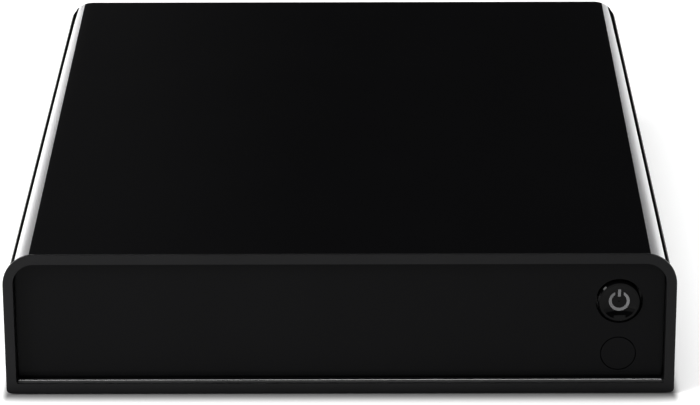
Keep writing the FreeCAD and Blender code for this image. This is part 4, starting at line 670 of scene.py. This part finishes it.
def makePressing():
    # a tight outline about the rounds, then the same outline drawn in by the slope
    steps = pressing["steps"]
    turns = [math.tau * step / steps for step in range(steps)]
    ways = [Vector((math.cos(turn), math.sin(turn))) for turn in turns]
    points = []
    for inset, height in ((0.0, pressing["from"]), (pressing["slope"], pressing["to"])):
        for way in ways:
            middle, radius = max(
                pressing["rounds"], key=lambda spot: Vector(spot[0]).dot(way) + spot[1]
            )
            points.append((*(Vector(middle) + way * (radius - inset)), height))
    top, sunk = pressing["to"], pressing["to"] - pressing["spindleSunk"]
    for radius, height in zip(pressing["spindleRadii"], (top, sunk, sunk, top)):
        points += [(*(Vector(pressing["spindle"]) + way * radius), height) for way in ways]
    faces = bands(len(points) // steps, steps)
    faces.append(tuple(range(len(points) - steps, len(points))))
    makePiece("lid_pressing", points, faces, "lid", "tray", "lid_steel", pressing["sharp"])


makePressing()
print("drive lid pressed")


table = {
    "half": 6.0, "colour": (0.92, 0.92, 0.92),
    "cloud": 300.0, "cloudDepth": 0.04,  # soft blotches, in millimetres, and how dark they are
    "middle": (0.0, -4.0, 0.0), "under": (99.5, 128.0, 0.0),  # what stands on it, in millimetres
    "paintedShadow": 0.2, "paintedShadowTo": 8.0,  # painted contact shadow: the table's colour is darkest beside the player, and how far that reaches
    "lift": 0.25, "liftTo": 12.0,  # the backdrop's pale glow away from it, kept off near the player as painted shade, and where that is full
    "squeeze": (3.0, 1.0, 1.0),  # both are this much tighter at the sides
}
sky = {
    "plain": 0.5,  # for soft light
    "low": 1.0,  # the pale background, as shiny pieces mirror it low down
    "darkLeft": 0.04, "dark": 0.012,  # the dark of the studio high up
    "lightTop": 0.1, "darkFrom": 0.17,  # sines of the heights where pale ends and dark starts
    "middle": 0.1,  # how far to each side the left turns into the right
}
lamps = {
    # name: where it stands, what it looks at, its size and its power
    "overhead": {"at": (0.0, 0.1, 1.9), "to": (0.0, 0.0, 0.0), "size": (1.6, 1.6), "power": 20.0},
    "left": {"at": (-0.45, -0.42, 0.33), "to": (0.0, 0.0, 0.0), "size": (0.25, 0.25), "power": 3.6},
    "front": {"at": (0.2, -2.5, 1.4), "to": (0.0, 0.0, 0.0), "size": (1.6, 0.9), "power": 7.0},
    "backLeft": {"at": (-1.0, 1.9, 0.1), "to": (0.0, 0.0, 0.04), "size": (1.8, 0.2), "power": 2.6},
    "backRight": {"at": (1.0, 1.9, 0.1), "to": (0.0, 0.0, 0.04), "size": (1.8, 0.2), "power": 1.2},
}
lens = {
    "at": (6.77, -1102.38, 424.57),  # millimetres
    "dip": 20.517, "turn": 0.214, "tilt": -0.189,  # degrees
    "focal": 3527.5, "pictureWidth": 700,  # pixels
    "sensor": 36.0,  # millimetres
    "sees": 50.0,  # metres
}


def makeTable():
    mesh = bpy.data.meshes.new("table")
    half = table["half"]
    mesh.from_pydata(
        [(-half, -half, 0), (half, -half, 0), (half, half, 0), (-half, half, 0)], [], [(0, 1, 2, 3)]
    )
    top = bpy.data.objects.new("table", mesh)
    bpy.context.scene.collection.objects.link(top)
    material, shader, wire = startFinish(
        "table", {"Roughness": 1.0, "Specular IOR Level": 0.0, "Emission Strength": 1.0}
    )
    spot = place(wire)
    away = spot  # how far a place on the table lies outside what stands on it
    for operation, by in (
        ("SUBTRACT", table["middle"]), ("ABSOLUTE", None), ("SUBTRACT", table["under"]),
        ("MAXIMUM", (0.0, 0.0, 0.0)), ("MULTIPLY", table["squeeze"]),
    ):
        steps = {0: away} if by is None else {0: away, 1: by}
        away = wire.add("ShaderNodeVectorMath", {"operation": operation}, steps)
    away = wire.add("ShaderNodeVectorMath", {"operation": "LENGTH"}, {0: away}, result="Value")
    cloud = speckle(wire, spot, table["cloud"]) * table["cloudDepth"] + (1.0 - table["cloudDepth"])
    # painted contact shadow: the table's own colour darkens towards the player's footprint
    paintedShadow = ramp(away, 0.0, table["paintedShadowTo"], table["paintedShadow"], 1.0)
    feed(shader, "Base Color", tint(wire, (0.0, 0.0, 0.0), table["colour"], paintedShadow * cloud))
    camera = wire.add("ShaderNodeLightPath", result="Is Camera Ray")
    seen = camera + camera.beside("Is Glossy Ray") + camera.beside("Is Transmission Ray")
    # the backdrop's glow fades out towards the player, which paints shade on the floor there
    feed(shader, "Emission Color", seen * ramp(away, 0.0, table["liftTo"], 0.0, table["lift"]))
    mesh.materials.append(material)


def makeSky():
    world = bpy.data.worlds.new("studio")
    bpy.context.scene.world = world
    world.use_nodes = True
    tree = world.node_tree
    wire = Wire(tree)
    camera = wire.add("ShaderNodeLightPath", result="Is Camera Ray")
    mirror = camera.beside("Is Glossy Ray")
    direction = wire.add("ShaderNodeTexCoord", result="Generated")
    across = wire.add("ShaderNodeSeparateXYZ", {}, {"Vector": direction}, "X")
    high = ramp(across, -sky["middle"], 0.0, sky["darkLeft"], sky["dark"])
    band = ramp(across.beside("Z"), sky["lightTop"], sky["darkFrom"], sky["low"], high)
    seen = wire.maths("MAXIMUM", camera, camera.beside("Is Transmission Ray"))
    strength = seen + mirror * band + (1.0 - seen) * (1.0 - mirror) * sky["plain"]
    tree.links.new(strength.socket, tree.nodes["Background"].inputs["Strength"])
    tree.nodes["Background"].inputs["Color"].default_value = (1.0, 1.0, 1.0, 1.0)


def makeLamp(name, lamp):
    light = bpy.data.lights.new(name, "AREA")
    light.shape = "RECTANGLE"
    light.size, light.size_y = lamp["size"]
    light.energy = lamp["power"]
    holder = bpy.data.objects.new(name, light)
    bpy.context.scene.collection.objects.link(holder)
    holder.location = lamp["at"]
    facing = Vector(lamp["to"]) - Vector(lamp["at"])
    holder.rotation_euler = facing.to_track_quat("-Z", "Y").to_euler()


def makeCamera():
    data = bpy.data.cameras.new("camera")
    camera = bpy.data.objects.new("camera", data)
    bpy.context.scene.collection.objects.link(camera)
    data.sensor_width = lens["sensor"]
    data.lens = lens["sensor"] * lens["focal"] / lens["pictureWidth"]
    data.clip_end = lens["sees"]
    camera.matrix_world = (
        Matrix.Translation(Vector(lens["at"]) * mm)
        @ Matrix.Rotation(math.radians(lens["turn"]), 4, "Z")
        @ Matrix.Rotation(math.radians(90.0 - lens["dip"]), 4, "X")
        @ Matrix.Rotation(math.radians(lens["tilt"]), 4, "Z")
    )
    bpy.context.scene.camera = camera


makeTable()
makeSky()
for name, lamp in lamps.items():
    makeLamp(name, lamp)
makeCamera()
bpy.context.scene.view_settings.view_transform = "Standard"
print("staged")
